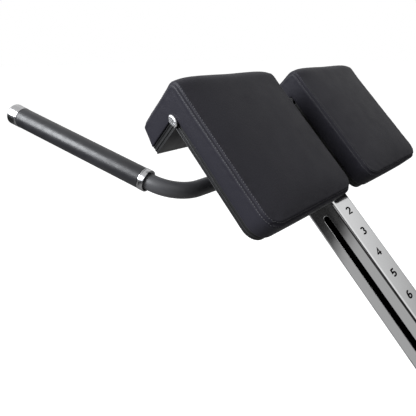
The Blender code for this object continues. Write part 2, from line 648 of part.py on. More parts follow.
def handlebar():
    """One bent tube under the post, with a saddle, and on each end two rings, a grip and a plug."""
    grip_end = GRIP_START + GRIP_LENGTH + END_RING
    left = bend_points(-1, 7)
    right = bend_points(1, 7)
    ends = [bar_corner(sign) + grip_direction(sign) * (grip_end - 0.004) for sign in (-1, 1)]
    route = [ends[0], *reversed(left), *right, ends[1]]
    path = bpy.data.curves.new("handlebar_path", "CURVE")
    path.dimensions = "3D"
    path.bevel_depth = BAR_RADIUS
    path.bevel_resolution = 6
    line = path.splines.new("POLY")
    line.points.add(len(route) - 1)
    for point, place in zip(line.points, route):
        point.co = (*(INCLINE.inverted() @ place), 1)
    sweep = bpy.data.objects.new("handlebar_sweep", path)
    PARTS.objects.link(sweep)
    sweep.parent = CARRIAGE
    graph = bpy.context.evaluated_depsgraph_get()
    mesh = bpy.data.meshes.new_from_object(sweep.evaluated_get(graph))
    bpy.data.objects.remove(sweep, do_unlink=True)
    tube = keep("handlebar", mesh, BLACK_PAINT, CARRIAGE)
    wall = tube.modifiers.new("wall", "SOLIDIFY")
    wall.thickness = BAR_WALL
    wall.offset = -1

    for hand, sign in SIDES.items():
        origin = INCLINE.inverted() @ bar_corner(sign)
        way = INCLINE.to_3x3().inverted() @ grip_direction(sign)
        bore = BAR_RADIUS + GAP
        ring_top = GRIP_START - GAP
        turned(f"inner_ring_{hand}", ring_profile(bore, RING_RADIUS, ring_top - INNER_RING, ring_top, 0.0015),
               POLISHED, CARRIAGE, origin, way, closed=True, steps=24)
        turned(f"grip_{hand}", ring_profile(bore, GRIP_RADIUS, GRIP_START, GRIP_START + GRIP_LENGTH, 0.001),
               RUBBER, CARRIAGE, origin, way, closed=True, steps=24)
        start = GRIP_START + GRIP_LENGTH + GAP
        turned(f"end_ring_{hand}", ring_profile(bore, RING_RADIUS, start, grip_end, END_RING_EASE),
               POLISHED, CARRIAGE, origin, way, closed=True, steps=24)
        inside = BAR_RADIUS - BAR_WALL - GAP
        turned(f"bar_end_plug_{hand}", [(0, grip_end - 0.0005), (0.0100, grip_end - 0.0008),
                                        (BAR_RADIUS - GAP, grip_end - 0.0020),
                                        (BAR_RADIUS - GAP, grip_end - 0.0037),
                                        (inside, grip_end - 0.0037), (inside, grip_end - 0.018),
                                        (0, grip_end - 0.018)],
               PLASTIC, CARRIAGE, origin, way, steps=24)

    saddle = box("handle_saddle", (-SADDLE_HALF_X, BAR_D - SADDLE_HALF_D, BAR_N - SADDLE_DEPTH),
                 (SADDLE_HALF_X, BAR_D + SADDLE_HALF_D, POST_N - POST_SIZE / 2 - GAP),
                 BLACK_PAINT, CARRIAGE, bevel=0.002)
    boolean(saddle, rod("saddle_bore", (-0.05, BAR_D, BAR_N), (0.05, BAR_D, BAR_N),
                        BAR_RADIUS + GAP, None, CARRIAGE, sides=32))


base_frame()
struts()
sleeve()
pop_pin()
rollers()
foot_plate()
post()
for side_name, side_sign in SIDES.items():
    hip_pad(side_name, side_sign)
pad_supports()
handlebar()
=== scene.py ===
"""The looks of a roman chair (45 degree back extension bench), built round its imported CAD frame.

Lengths are metres. Most pieces are drawn in the incline's own axes: x to the user's right, d up
along the post from the fold line of the pads, and n out of the pads' resting face. Each mesh is
then laid in the world, so that every object stays at the origin.
"""

import json
import math

import bmesh
import bpy
from mathutils import Matrix, Vector, noise
from mathutils.bvhtree import BVHTree
from mathutils.geometry import convex_hull_2d
from mathutils.kdtree import KDTree


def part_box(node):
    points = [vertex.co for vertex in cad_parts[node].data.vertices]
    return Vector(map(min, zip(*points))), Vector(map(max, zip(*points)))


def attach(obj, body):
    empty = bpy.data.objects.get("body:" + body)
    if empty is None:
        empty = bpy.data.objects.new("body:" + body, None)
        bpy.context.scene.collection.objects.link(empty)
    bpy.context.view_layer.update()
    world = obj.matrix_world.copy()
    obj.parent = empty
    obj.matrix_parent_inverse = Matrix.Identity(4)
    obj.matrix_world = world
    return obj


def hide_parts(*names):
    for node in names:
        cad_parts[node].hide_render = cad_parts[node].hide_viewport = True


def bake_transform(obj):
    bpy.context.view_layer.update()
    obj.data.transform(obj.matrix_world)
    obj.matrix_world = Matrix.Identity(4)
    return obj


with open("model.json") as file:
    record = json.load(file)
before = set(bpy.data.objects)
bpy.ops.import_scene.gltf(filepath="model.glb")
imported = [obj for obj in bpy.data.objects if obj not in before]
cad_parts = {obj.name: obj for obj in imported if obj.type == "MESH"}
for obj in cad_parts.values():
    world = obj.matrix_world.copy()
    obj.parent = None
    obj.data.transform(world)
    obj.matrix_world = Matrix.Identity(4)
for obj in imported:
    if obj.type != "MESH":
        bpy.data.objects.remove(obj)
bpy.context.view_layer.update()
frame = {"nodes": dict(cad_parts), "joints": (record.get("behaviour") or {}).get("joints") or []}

# ---------------------------------------------------------------- the frame's own axes
NODES = frame["nodes"]
X, Y, Z = Vector((1, 0, 0)), Vector((0, 1, 0)), Vector((0, 0, 1))
D = next(Vector(joint["axis"]).normalized() for joint in frame["joints"] if joint["name"] == "post_slide")
N = X.cross(D)
SIDES = {"left": -1, "right": 1}


def reach(node, way):
    """How far a node goes along a direction: its lowest and highest values."""
    values = [vert.co.dot(way) for vert in NODES[node].data.vertices]
    return min(values), max(values)


FOLD = D * reach("hip_pad_left", D)[1] + N * reach("pad_board_left", N)[0]
INCLINE = Matrix.Translation(FOLD) @ Matrix((X, D, N)).transposed().to_4x4()


def span(node):
    """A node's lowest and highest corners in the incline's axes."""
    ranges = [reach(node, way) for way in (X, D, N)]
    starts = [FOLD.dot(way) for way in (X, D, N)]
    low = Vector([pair[0] - start for pair, start in zip(ranges, starts)])
    high = Vector([pair[1] - start for pair, start in zip(ranges, starts)])
    return low, high


def centre(node):
    """The middle of a node's box in the world."""
    low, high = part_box(node)
    return (low + high) / 2


def spindle(node, way):
    """Where a turned node stands: a matrix with Z along way from its low end, its length, its radius."""
    turn = way.normalized().to_track_quat("Z", "Y").to_matrix()
    points = [turn.transposed() @ vert.co for vert in NODES[node].data.vertices]
    low = Vector(map(min, zip(*points)))
    high = Vector(map(max, zip(*points)))
    middle = (low + high) / 2
    radius = max((point.xy - middle.xy).length for point in points)
    foot = turn @ Vector((middle.x, middle.y, low.z))
    return Matrix.Translation(foot) @ turn.to_4x4(), high.z - low.z, radius


# ---------------------------------------------------------------- materials
class Graph:
    """A node tree that is filled by short calls."""

    def __init__(self, tree):
        self.tree = tree
        self.nodes = tree.nodes

    def join(self, target, value):
        """Give a socket a value, or link it."""
        if isinstance(value, bpy.types.NodeSocket):
            self.tree.links.new(value, target)
        else:
            target.default_value = value

    def node(self, kind, output, *values, **named):
        """Add a node and return one output; names in small letters are settings, the rest are inputs."""
        made = self.nodes.new(kind)
        for name, value in named.items():
            if name.islower():
                setattr(made, name, value)
            else:
                self.join(made.inputs[name.replace("_", " ")], value)
        for target, value in zip(made.inputs, values):
            self.join(target, value)
        return made.outputs[output]

    def sum(self, operation, *values):
        """A Math node of values or links."""
        return self.node("ShaderNodeMath", "Value", *values, operation=operation)

    def between(self, value, start, end, low=0.0, high=1.0, **settings):
        """Map a value from start..end to low..high."""
        return self.node("ShaderNodeMapRange", "Result", **settings, Value=value, From_Min=start,
                         From_Max=end, To_Min=low, To_Max=high)

    def ramp(self, value, *stops):
        """The colour of a value among (place, colour) stops."""
        made = self.nodes.new("ShaderNodeValToRGB")
        self.join(made.inputs["Fac"], value)
        elements = made.color_ramp.elements
        while len(elements) < len(stops):
            elements.new(0.5)
        for element, (place, colour) in zip(elements, stops):
            element.position = place
            element.color = (*colour, 1)
        return made.outputs["Color"]


class Skin(Graph):
    """A Principled material whose detail comes from a few nodes, in metres."""

    def __init__(self, name, slot, colour, metallic=0.0, roughness=0.5, **sockets):
        self.material = bpy.data.materials.new(name)
        self.material["slot"] = slot
        self.material.use_nodes = True
        super().__init__(self.material.node_tree)
        self.shader = self.nodes["Principled BSDF"]
        self.set("Base Color", (*colour, 1))
        self.set("Metallic", metallic)
        self.set("Roughness", roughness)
        for socket, value in sockets.items():
            self.set(socket.replace("_", " "), value)

    def set(self, socket, value):
        """Give a shader socket a value, or link it."""
        self.join(self.shader.inputs[socket], value)

    def turned_place(self, turn):
        """Object coordinates, turned."""
        return self.node("ShaderNodeMapping", "Vector", Vector=self.node("ShaderNodeTexCoord", "Object"),
                         Rotation=turn)

    def place(self, stretch=(1, 1, 1), turn=(0, 0, 0)):
        """Object coordinates, turned and then stretched."""
        return self.node("ShaderNodeMapping", "Vector", Vector=self.turned_place(turn), Scale=stretch)

    def clouds(self, scale, detail=3.0, stretch=(1, 1, 1), turn=(0, 0, 0)):
        """Soft noise from 0 to 1, with about this many blobs a metre."""
        return self.node("ShaderNodeTexNoise", "Fac", Vector=self.place(stretch, turn), Scale=scale,
                         Detail=detail)

    def cells(self, scale):
        """Rounded cells, 0 in their middles."""
        return self.node("ShaderNodeTexVoronoi", "Distance", Vector=self.place(), Scale=scale,
                         Randomness=1.0)

    def tint(self, value, first, second):
        """Mix two colours by a value."""
        return self.ramp(value, (0.35, first), (0.65, second))

    def pattern(self, scale, detail):
        """Clouds, or cells where there is no detail."""
        return self.clouds(scale, detail) if detail else self.cells(scale)

    def worn(self, scale, detail, low, high):
        """A roughness that drifts between two values."""
        self.set("Roughness", self.between(self.clouds(scale, detail), 0.3, 0.7, low, high))

    def relief(self, *layers):
        """Bump from (height, depth in metres) layers, the coarsest first."""
        normal = None
        for height, depth in layers:
            inputs = {"Height": height, "Distance": depth, "Strength": 1.0}
            if normal is not None:
                inputs["Normal"] = normal
            normal = self.node("ShaderNodeBump", "Normal", **inputs)
        self.set("Normal", normal)


def finish(name, slot, colour, metallic, roughness, tint=None, worn=None, relief=(), **sockets):
    """A material: tint is (scale, detail, first, second), worn (scale, detail, low, high) roughness,
    and relief (scale, detail, depth) layers, the coarsest first."""
    skin = Skin(name, slot, colour, metallic, roughness, **sockets)
    if tint:
        skin.set("Base Color", skin.tint(skin.pattern(*tint[:2]), *tint[2:]))
    if worn:
        skin.worn(*worn)
    if relief:
        skin.relief(*((skin.pattern(scale, detail), depth) for scale, detail, depth in relief))
    return skin.material


def powder_coat(name, colour, roughness):
    """Satin black powder coat with its orange peel."""
    darker = [value * 0.87 for value in colour]
    lighter = [value * 1.15 for value in colour]
    return finish(name, "black_powder_coat", colour, 0, roughness, (12, 3, darker, lighter),
                  (90, 4, roughness - 0.06, roughness + 0.06), ((420, 2, 0.00010), (1500, 1, 0.00003)),
                  Specular_IOR_Level=0.5)


def chrome(name, slot, colour, smooth, rough, turn, tube=None):
    """Plated steel with faint lines drawn along the post; a tube's inside is painted near-black and not
    metallic, as painted shade in its slot and holes.
    """
    skin = Skin(name, slot, colour, 1.0, smooth)
    lines = skin.clouds(1, 3, stretch=(900, 9, 900), turn=turn)
    smears = skin.clouds(1, 4, stretch=(40, 7, 40), turn=turn)
    skin.set("Roughness", skin.between(smears, 0.3, 0.75, smooth, rough))
    skin.relief((skin.clouds(18, 2), 0.00012), (lines, 0.000010))
    if tube:
        # painted shade: the tube's inside, in its slot and holes, is near-black and not metallic
        unshaded_outside = outside_of(skin, tube)
        skin.set("Metallic", unshaded_outside)
        skin.set("Base Color", skin.tint(unshaded_outside, (0.004, 0.004, 0.004), colour))
    return skin.material


def outside_of(skin, tube):
    """1 on the outer skin of a square tube along the incline, 0 on its inside, which gets painted shade."""
    low, high = span(tube)
    middle = centre(tube)
    over, out = (skin.node("ShaderNodeSeparateXYZ", part, skin.turned_place(ALONG_POST)) for part in "XZ")
    across = skin.sum("ABSOLUTE", over)
    through = skin.sum("ABSOLUTE", skin.sum("SUBTRACT", out, middle.dot(N)))
    return skin.sum("GREATER_THAN", skin.sum("MAXIMUM", across, through), high.x - PLATED_DEPTH)


def turned_metal():
    """Polished aluminium with the fine rings that a lathe leaves along its axis."""
    skin = Skin("polished_aluminium", "polished_aluminium", (0.50, 0.50, 0.51), 1.0, 0.22)
    along = skin.node("ShaderNodeAttribute", "Fac", attribute_name="along")
    rings = skin.node("ShaderNodeTexNoise", "Fac", noise_dimensions="1D", W=along, Scale=2600)
    skin.worn(160, 4, 0.20, 0.23)
    skin.relief((rings, 0.00001))
    return skin.material


def moulded(name, slot, colour, roughness, speck, depth):
    """A moulded plastic or rubber with a fine mould texture and a little dust."""
    lighter = [value * 1.35 for value in colour]
    return finish(name, slot, colour, 0, roughness, (24, 5, colour, lighter),
                  (70, 4, roughness - 0.06, roughness + 0.07), ((speck, 2, depth),), Specular_IOR_Level=0.42)


ALONG_POST = (-math.atan2(D.z, D.y), 0, 0)
PLATED_DEPTH = 0.0014              # the plating's reach into the post's slot and holes; deeper in, the inside is painted shade
VINYL = finish("black_leatherette", "black_leatherette", (0.0176, 0.0170, 0.0226), 0, 0.5,
               (9, 4, (0.0170, 0.0164, 0.0216), (0.0184, 0.0178, 0.0236)), (35, 5, 0.47, 0.54),
               ((9, 4, 0.0004), (620, 0, 0.00020), (2600, 2, 0.00003)), Specular_IOR_Level=0.15)
THREAD = finish("seam_thread", "black_leatherette", (0.055, 0.055, 0.059), 0, 0.65,
                (300, 2, (0.040, 0.040, 0.043), (0.080, 0.080, 0.085)), relief=((2400, 1, 0.00008),))
PAINT = powder_coat("black_powder_coat", (0.0150, 0.0150, 0.0160), 0.42)
BAR_PAINT = powder_coat("bar_powder_coat", (0.052, 0.052, 0.056), 0.46)
# its slot and holes get painted shade inside
POST_CHROME = chrome("post_chrome", "chrome", (0.78, 0.785, 0.79), 0.07, 0.15, ALONG_POST,
                     "adjustment_post")
CHROME = chrome("chrome", "chrome", (0.78, 0.785, 0.79), 0.07, 0.15, (0, math.pi / 2, 0))
CAST = finish("cast_aluminium", "polished_aluminium", (0.86, 0.86, 0.87), 1.0, 0.34,
              worn=(420, 4, 0.26, 0.44), relief=((700, 3, 0.00010),))
ALLOY = turned_metal()
BOARD = moulded("pad_backing", "pad_backing", (0.019, 0.019, 0.0200), 0.38, 1300, 0.00005)
# painted shade: the boards' recessed core is a darker copy of the backing, for the shade in the grooves
# between the rims
CORE_SHADE = moulded("board_core_shade", "pad_backing", (0.0050, 0.0050, 0.0054), 0.66, 1300, 0.00005)
RUBBER = moulded("black_rubber", "black_rubber", (0.019, 0.019, 0.020), 0.52, 1800, 0.00006)
GRIP = moulded("grip_rubber", "black_rubber", (0.013, 0.013, 0.0148), 0.37, 1500, 0.00005)
PLASTIC = moulded("black_plastic", "black_plastic", (0.017, 0.017, 0.018), 0.42, 1100, 0.00008)
FOAM = finish("roller_foam", "roller_foam", (0.017, 0.017, 0.018), 0, 0.86,
              (30, 5, (0.014, 0.014, 0.015), (0.021, 0.021, 0.022)),
              relief=((60, 4, 0.0008), (950, 0, 0.00035)), Specular_IOR_Level=0.3)
ZINC = finish("zinc_steel", "zinc_steel", (0.60, 0.60, 0.58), 1.0, 0.3,
              (260, 0, (0.56, 0.56, 0.55), (0.64, 0.64, 0.61)), (120, 5, 0.24, 0.42), ((900, 2, 0.00002),))
INK = finish("number_ink", "chrome", (0.003, 0.003, 0.0035), 0, 0.9,
             (500, 2, (0.002, 0.002, 0.0025), (0.005, 0.005, 0.0055)), Specular_IOR_Level=0.04)


# ---------------------------------------------------------------- mesh helpers
def put(shape, part, matrix=Matrix.Identity(4)):
    """Add a small bmesh to a larger one, at a place."""
    part.transform(matrix)
    mesh = mesh_of("part", part)
    shape.from_mesh(mesh)
    bpy.data.meshes.remove(mesh)


def placed(name, data):
    """An object of some data, linked to the scene."""
    made = bpy.data.objects.new(name, data)
    bpy.context.scene.collection.objects.link(made)
    return made


def with_modifiers(holder):
    """A mesh of an object as its modifiers leave it."""
    graph = bpy.context.evaluated_depsgraph_get()
    return bpy.data.meshes.new_from_object(holder.evaluated_get(graph))


def mesh_of(name, shape):
    """A mesh of a bmesh, which is freed."""
    mesh = bpy.data.meshes.new(name)
    shape.to_mesh(mesh)
    shape.free()
    return mesh


def piece(name, shape, skin, body, *replaced, sharp=35):
    """Make a piece of a bmesh in world coordinates, and say what it rides on and stands for."""
    bmesh.ops.recalc_face_normals(shape, faces=shape.faces)
    return made_of(name, mesh_of(name, shape), skin, body, *replaced, sharp=sharp)


def made_of(name, mesh, skin, body, *replaced, sharp=35):
    """Make a piece of a mesh in world coordinates; a piece with no body is left unattached."""
    mesh.materials.clear()
    mesh.materials.append(skin)
    mesh.shade_smooth()
    mesh.set_sharp_from_angle(angle=math.radians(sharp))
    made = placed(name, mesh)
    if body:
        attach(made, body)
    if replaced:
        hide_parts(*replaced)
    return made


def eased(points, closed=False, steps=5):
    """A line of (x, y, ease) points with each corner rounded by its ease."""
    line = []
    for index, (x, y, ease) in enumerate(points):
        here = Vector((x, y))
        if ease <= 0 or (not closed and index in (0, len(points) - 1)):
            line.append((x, y))
            continue
        before = Vector(points[index - 1][:2]) - here
        after = Vector(points[(index + 1) % len(points)][:2]) - here
        cut = min(ease, before.length * 0.499, after.length * 0.499)
        start = here + before.normalized() * cut
        end = here + after.normalized() * cut
        for step in range(steps + 1):
            t = step / steps
            line.append(tuple(start * (1 - t) ** 2 + here * 2 * t * (1 - t) + end * t * t))
    return line


def corner_factor(angle, sides):
    """How much further out a polygon's side is at this angle than its flat's distance."""
    step = math.tau / sides
    return 1 / math.cos((angle + step / 2) % step - step / 2)


def bridge(shape, first, second):
    """Faces between two rings of vertices; a ring of one vertex is a tip."""
    count = max(len(first), len(second))
    for step in range(count):
        after = (step + 1) % count
        corners = [first[step % len(first)], first[after % len(first)],
                   second[after % len(second)], second[step % len(second)]]
        shape.faces.new(list(dict.fromkeys(corners)))


def circle(shape, middle, side, other, radius, sides):
    """A ring of vertices round a point, in the plane of two directions."""
    angles = [math.tau * step / sides for step in range(sides)]
    return [shape.verts.new(middle + (side * math.cos(angle) + other * math.sin(angle)) * radius)
            for angle in angles]


def turned(profile, steps=72, closed=False):
    """Turn a line of (radius, height) points about Z; (radius, height, sides) makes a polygon."""
    shape = bmesh.new()
    rings = []
    for radius, height, *sides in profile:
        if radius < 1e-6:
            rings.append([shape.verts.new((0, 0, height))])
            continue
        ring = []
        for step in range(steps):
            angle = math.tau * step / steps
            far = radius * (corner_factor(angle, sides[0]) if sides else 1)
            ring.append(shape.verts.new((far * math.cos(angle), far * math.sin(angle), height)))
        rings.append(ring)
    pairs = list(zip(rings, rings[1:]))
    if closed:
        pairs.append((rings[-1], rings[0]))
    for upper, lower in pairs:
        bridge(shape, upper, lower)
    return shape


def slab(outline, low, high, ease, segments=3):
    """An outline in XY, given a thickness along Z and rounded rims."""
    shape = bmesh.new()
    base = shape.faces.new([shape.verts.new((x, y, low)) for x, y in outline])
    grown = bmesh.ops.extrude_face_region(shape, geom=[base])["geom"]
    bmesh.ops.translate(shape, vec=(0, 0, high - low),
                        verts=[item for item in grown if isinstance(item, bmesh.types.BMVert)])
    rim = [edge for edge in shape.edges if abs(edge.verts[0].co.z - edge.verts[1].co.z) < 1e-7]
    bmesh.ops.bevel(shape, geom=rim, offset=ease, segments=segments, profile=0.5, affect="EDGES")
    return shape


def block(low, high, ease, segments=3):
    """A box with rounded edges."""
    shape = bmesh.new()
    low, high = Vector(low), Vector(high)
    size = Matrix.Diagonal((*(high - low), 1))
    bmesh.ops.create_cube(shape, size=1, matrix=Matrix.Translation((low + high) / 2) @ size)
    bmesh.ops.bevel(shape, geom=shape.edges[:], offset=ease, segments=segments, profile=0.5,
                    affect="EDGES")
    return shape


def sweep(points, radius, sides=16, closed=False, bore=0.0):
    """A round rod or tube along points; its radius may be a function of the distance along it."""
    shape = bmesh.new()
    count = len(points)
    size = radius if callable(radius) else lambda along: radius
    rings, holes = [], []
    side, along = None, 0.0
    for index, point in enumerate(points):
        ahead = points[(index + 1) % count] if closed or index < count - 1 else point
        behind = points[index - 1] if closed or index > 0 else point
        way = (ahead - behind).normalized()
        if side is None:
            side = way.orthogonal()
        side = (side - way * side.dot(way)).normalized()
        other = way.cross(side)
        if index:
            along += (point - points[index - 1]).length
        rings.append(circle(shape, point, side, other, size(along), sides))
        if bore:
            holes.append(circle(shape, point, side, other, bore, sides))
    pairs = list(zip(rings, rings[1:]))
    if bore:
        pairs += [*zip(holes, holes[1:]), (rings[0], holes[0]), (rings[-1], holes[-1])]
    elif closed:
        pairs.append((rings[-1], rings[0]))
    for first, second in pairs:
        bridge(shape, first, second)
    if not (closed or bore):
        shape.faces.new(rings[0])
        shape.faces.new(rings[-1])
    return shape


def rectangle(low_x, low_y, high_x, high_y, lower=0.0, upper=0.0, steps=8):
    """A rectangle's outline with rounded corners, the lower two and the upper two alike."""
    lower, upper = max(lower, 0), max(upper, 0)
    hubs = ((low_x + lower, low_y + lower, lower), (high_x - lower, low_y + lower, lower),
            (high_x - upper, high_y - upper, upper), (low_x + upper, high_y - upper, upper))
    line = []
    for quarter, (x, y, ease) in enumerate(hubs):
        for step in range(steps + 1 if ease else 1):
            angle = math.pi * (1 + (quarter + step / steps) / 2)
            line.append((x + ease * math.cos(angle), y + ease * math.sin(angle)))
    return line


EDGE_ROUND = 0.0008


def dress(skin, *nodes):
    """Give CAD nodes their finish, with welded points and slightly rounded edges."""
    for name in nodes:
        node = NODES[name]
        node.data.materials.clear()
        node.data.materials.append(skin)
        node.data.shade_smooth()
        weld = node.modifiers.new("weld", "WELD")
        weld.merge_threshold = 0.00002
        soften = node.modifiers.new("edges", "BEVEL")
        soften.width = EDGE_ROUND
        soften.segments = 2
        soften.limit_method = "ANGLE"
        soften.angle_limit = math.radians(38)
        soften.use_clamp_overlap = True
        smooth = node.modifiers.new("flat_faces", "WEIGHTED_NORMAL")
        smooth.keep_sharp = True


# ---------------------------------------------------------------- camera, light and floor
CAMERA_PLACE = Vector((-0.677, -0.480, 0.069))     # from the pads' fold line
CAMERA_HEADING = math.radians(43.4)                # from +X towards +Y
CAMERA_DIP = math.radians(21.07)
CAMERA_ROLL = -0.0161
CAMERA_LENS = 35.18


def camera():
    """The photograph's viewpoint."""
    data = bpy.data.cameras.new("camera")
    data.lens = CAMERA_LENS
    data.sensor_width = 36
    data.clip_start = 0.02
    data.clip_end = 50
    made = placed("camera", data)
    look = Vector((math.cos(CAMERA_DIP) * math.cos(CAMERA_HEADING),
                   math.cos(CAMERA_DIP) * math.sin(CAMERA_HEADING), -math.sin(CAMERA_DIP)))
    right = look.cross(Z).normalized()
    turn = Matrix((right, right.cross(look), -look)).transposed().to_4x4()
    made.matrix_world = Matrix.Translation(FOLD + CAMERA_PLACE) @ turn @ Matrix.Rotation(CAMERA_ROLL, 4, "Z")
    bpy.context.scene.camera = made


LIGHT_TINT = (0.94, 0.965, 1.0)


def area_light(name, way, far, size, power, glossy=True):
    """A soft square light, this far from the pads along a direction, that points at them."""
    data = bpy.data.lights.new(name, "AREA")
    data.size = size
    data.energy = power
    data.color = LIGHT_TINT
    made = placed(name, data)
    made.location = FOLD + Vector(way).normalized() * far
    made.rotation_euler = (-Vector(way)).to_track_quat("-Z", "Y").to_euler()
    made.visible_glossy = glossy
    made.visible_camera = False


SKY = ((-1.0, 0.30), (-0.62, 0.30), (-0.44, 0.02), (-0.25, 0.03), (0.0, 0.10), (0.20, 0.52), (0.37, 0.78),
       (0.52, 0.80), (0.62, 1.02), (0.74, 0.80), (1.0, 0.80))
LEFT_SKY = ((-1.0, 0.30), (-0.62, 0.30), (-0.44, 0.02), (0.18, 0.02), (0.40, 0.08), (0.52, 0.80),
            (0.62, 1.15), (0.74, 0.80), (1.0, 0.80))
SWEEP = 0.44                       # light of the paper sweep that lies behind the left of the machine
SWEEP_EDGE = (-0.033, -0.789, -0.614)
SWEEP_SOFT = 0.035
SWEEP_RISE = (-0.20, -0.32)
LEFT_TURN = (-0.15, -0.40)          # from where the left of the room takes over


def surroundings():
    """A room for the lighting: a paper sweep underfoot, dim walls and a bright ceiling; white behind."""
    world = bpy.data.worlds.new("studio")
    bpy.context.scene.world = world
    world.use_nodes = True
    graph = Graph(world.node_tree)
    where = graph.node("ShaderNodeTexCoord", "Generated")
    aside, up = (graph.node("ShaderNodeSeparateXYZ", part, where) for part in "XZ")
    height = graph.between(up, -1, 1)
    skies = [graph.ramp(height, *(((rise + 1) / 2, (light,) * 3) for rise, light in levels))
             for levels in (SKY, LEFT_SKY)]
    edge = graph.node("ShaderNodeVectorMath", "Value", where, SWEEP_EDGE, operation="DOT_PRODUCT")
    beyond = graph.between(edge, -SWEEP_SOFT, SWEEP_SOFT, interpolation_type="SMOOTHSTEP")
    leftward = graph.between(aside, *LEFT_TURN, interpolation_type="SMOOTHSTEP")
    under = graph.between(up, *SWEEP_RISE, high=SWEEP)
    sky = graph.node("ShaderNodeMix", "Result", data_type="RGBA", Factor=leftward, A=skies[0], B=skies[1])
    share = graph.sum("MULTIPLY", graph.sum("MULTIPLY", under, beyond), leftward)
    total = graph.node("ShaderNodeVectorMath", "Vector", sky, share, operation="MAXIMUM")
    room = graph.nodes["Background"]
    graph.join(room.inputs["Color"], total)
    paper = graph.node("ShaderNodeBackground", "Background", (1, 1, 1, 1))
    seen = graph.node("ShaderNodeLightPath", "Is Camera Ray")
    shown = graph.node("ShaderNodeMixShader", "Shader", seen, room.outputs["Background"], paper)
    graph.join(graph.nodes["World Output"].inputs["Surface"], shown)


def studio():
    """The surroundings, a pale floor and soft lights."""
    surroundings()
    bpy.context.scene.view_settings.view_transform = "Standard"
    shape = bmesh.new()
    floor_size = 40
    bmesh.ops.create_grid(shape, x_segments=1, y_segments=1, size=floor_size)
    floor = placed("floor", mesh_of("floor", shape))
    floor.visible_diffuse = False
    floor.visible_glossy = False
    skin = bpy.data.materials.new("floor")
    skin.use_nodes = True
    paper = skin.node_tree.nodes["Principled BSDF"]
    paper.inputs["Base Color"].default_value = (0.90, 0.90, 0.90, 1)
    paper.inputs["Roughness"].default_value = 0.9
    paper.inputs["Emission Color"].default_value = (1, 1, 1, 1)
    paper.inputs["Emission Strength"].default_value = 0.35
    floor.data.materials.append(skin)
    area_light("key", (-0.84, 0.32, 0.43), 2.4, 1.3, 95)
    area_light("fill", (-1.0, -0.12, -0.12), 1.3, 0.6, 3.0, glossy=False)


# ---------------------------------------------------------------- hip pads
CELL = 0.006                       # grid of the pads before they are subdivided
FOLD_RADIUS = 0.013
END_CORNER = 0.028
FLAP_CORNER = 0.004
FLAP_SLANT = 0.0095                # the flap's outer edge ends this far above its boards
EDGE_TUCK = 0.0014                 # how far the seams are drawn in from square edges
LOW_END_RADIUS = 0.006
FLAP_END_RADIUS = 0.004
FOLD_FULL = 0.0030                 # how far the foam fills the fold out between the seams
FOLD_SPREAD = 0.020
PAD_FULL = 0.0036
CROWN = 0.0055                     # most that a panel swells
EVENING = 8                        # rounds of averaging that take the waves out of the swelling
BACK_CREASE = 0.7                  # how crisp the vinyl turns in over the boards
SEAM_REACH = 0.03
SEAM_VALLEY = (-0.0012, 0.0, 0.0016)       # height, distance from the seam and width
SEAM_RIDGE = (0.0006, 0.0048, 0.0022)
SEAM_GATHER = (0.0005, 0.008, 0.007)
GATHERS = 95                       # a metre of seam
CLOTH_PRESSURE = 4
CLOTH_FRAMES = 20
STITCH_PITCH = 0.0040
STITCH_OFFSET = 0.0034
STITCH_LENGTH = STITCH_PITCH * 0.78
STITCH_RADIUS = 0.00042
STITCH_SINK = 0.00035
STITCH_FORM = ((-0.5, 0.0), (-0.42, 0.6), (-0.2, 1.0), (0.2, 1.0), (0.42, 0.6), (0.5, 0.0))


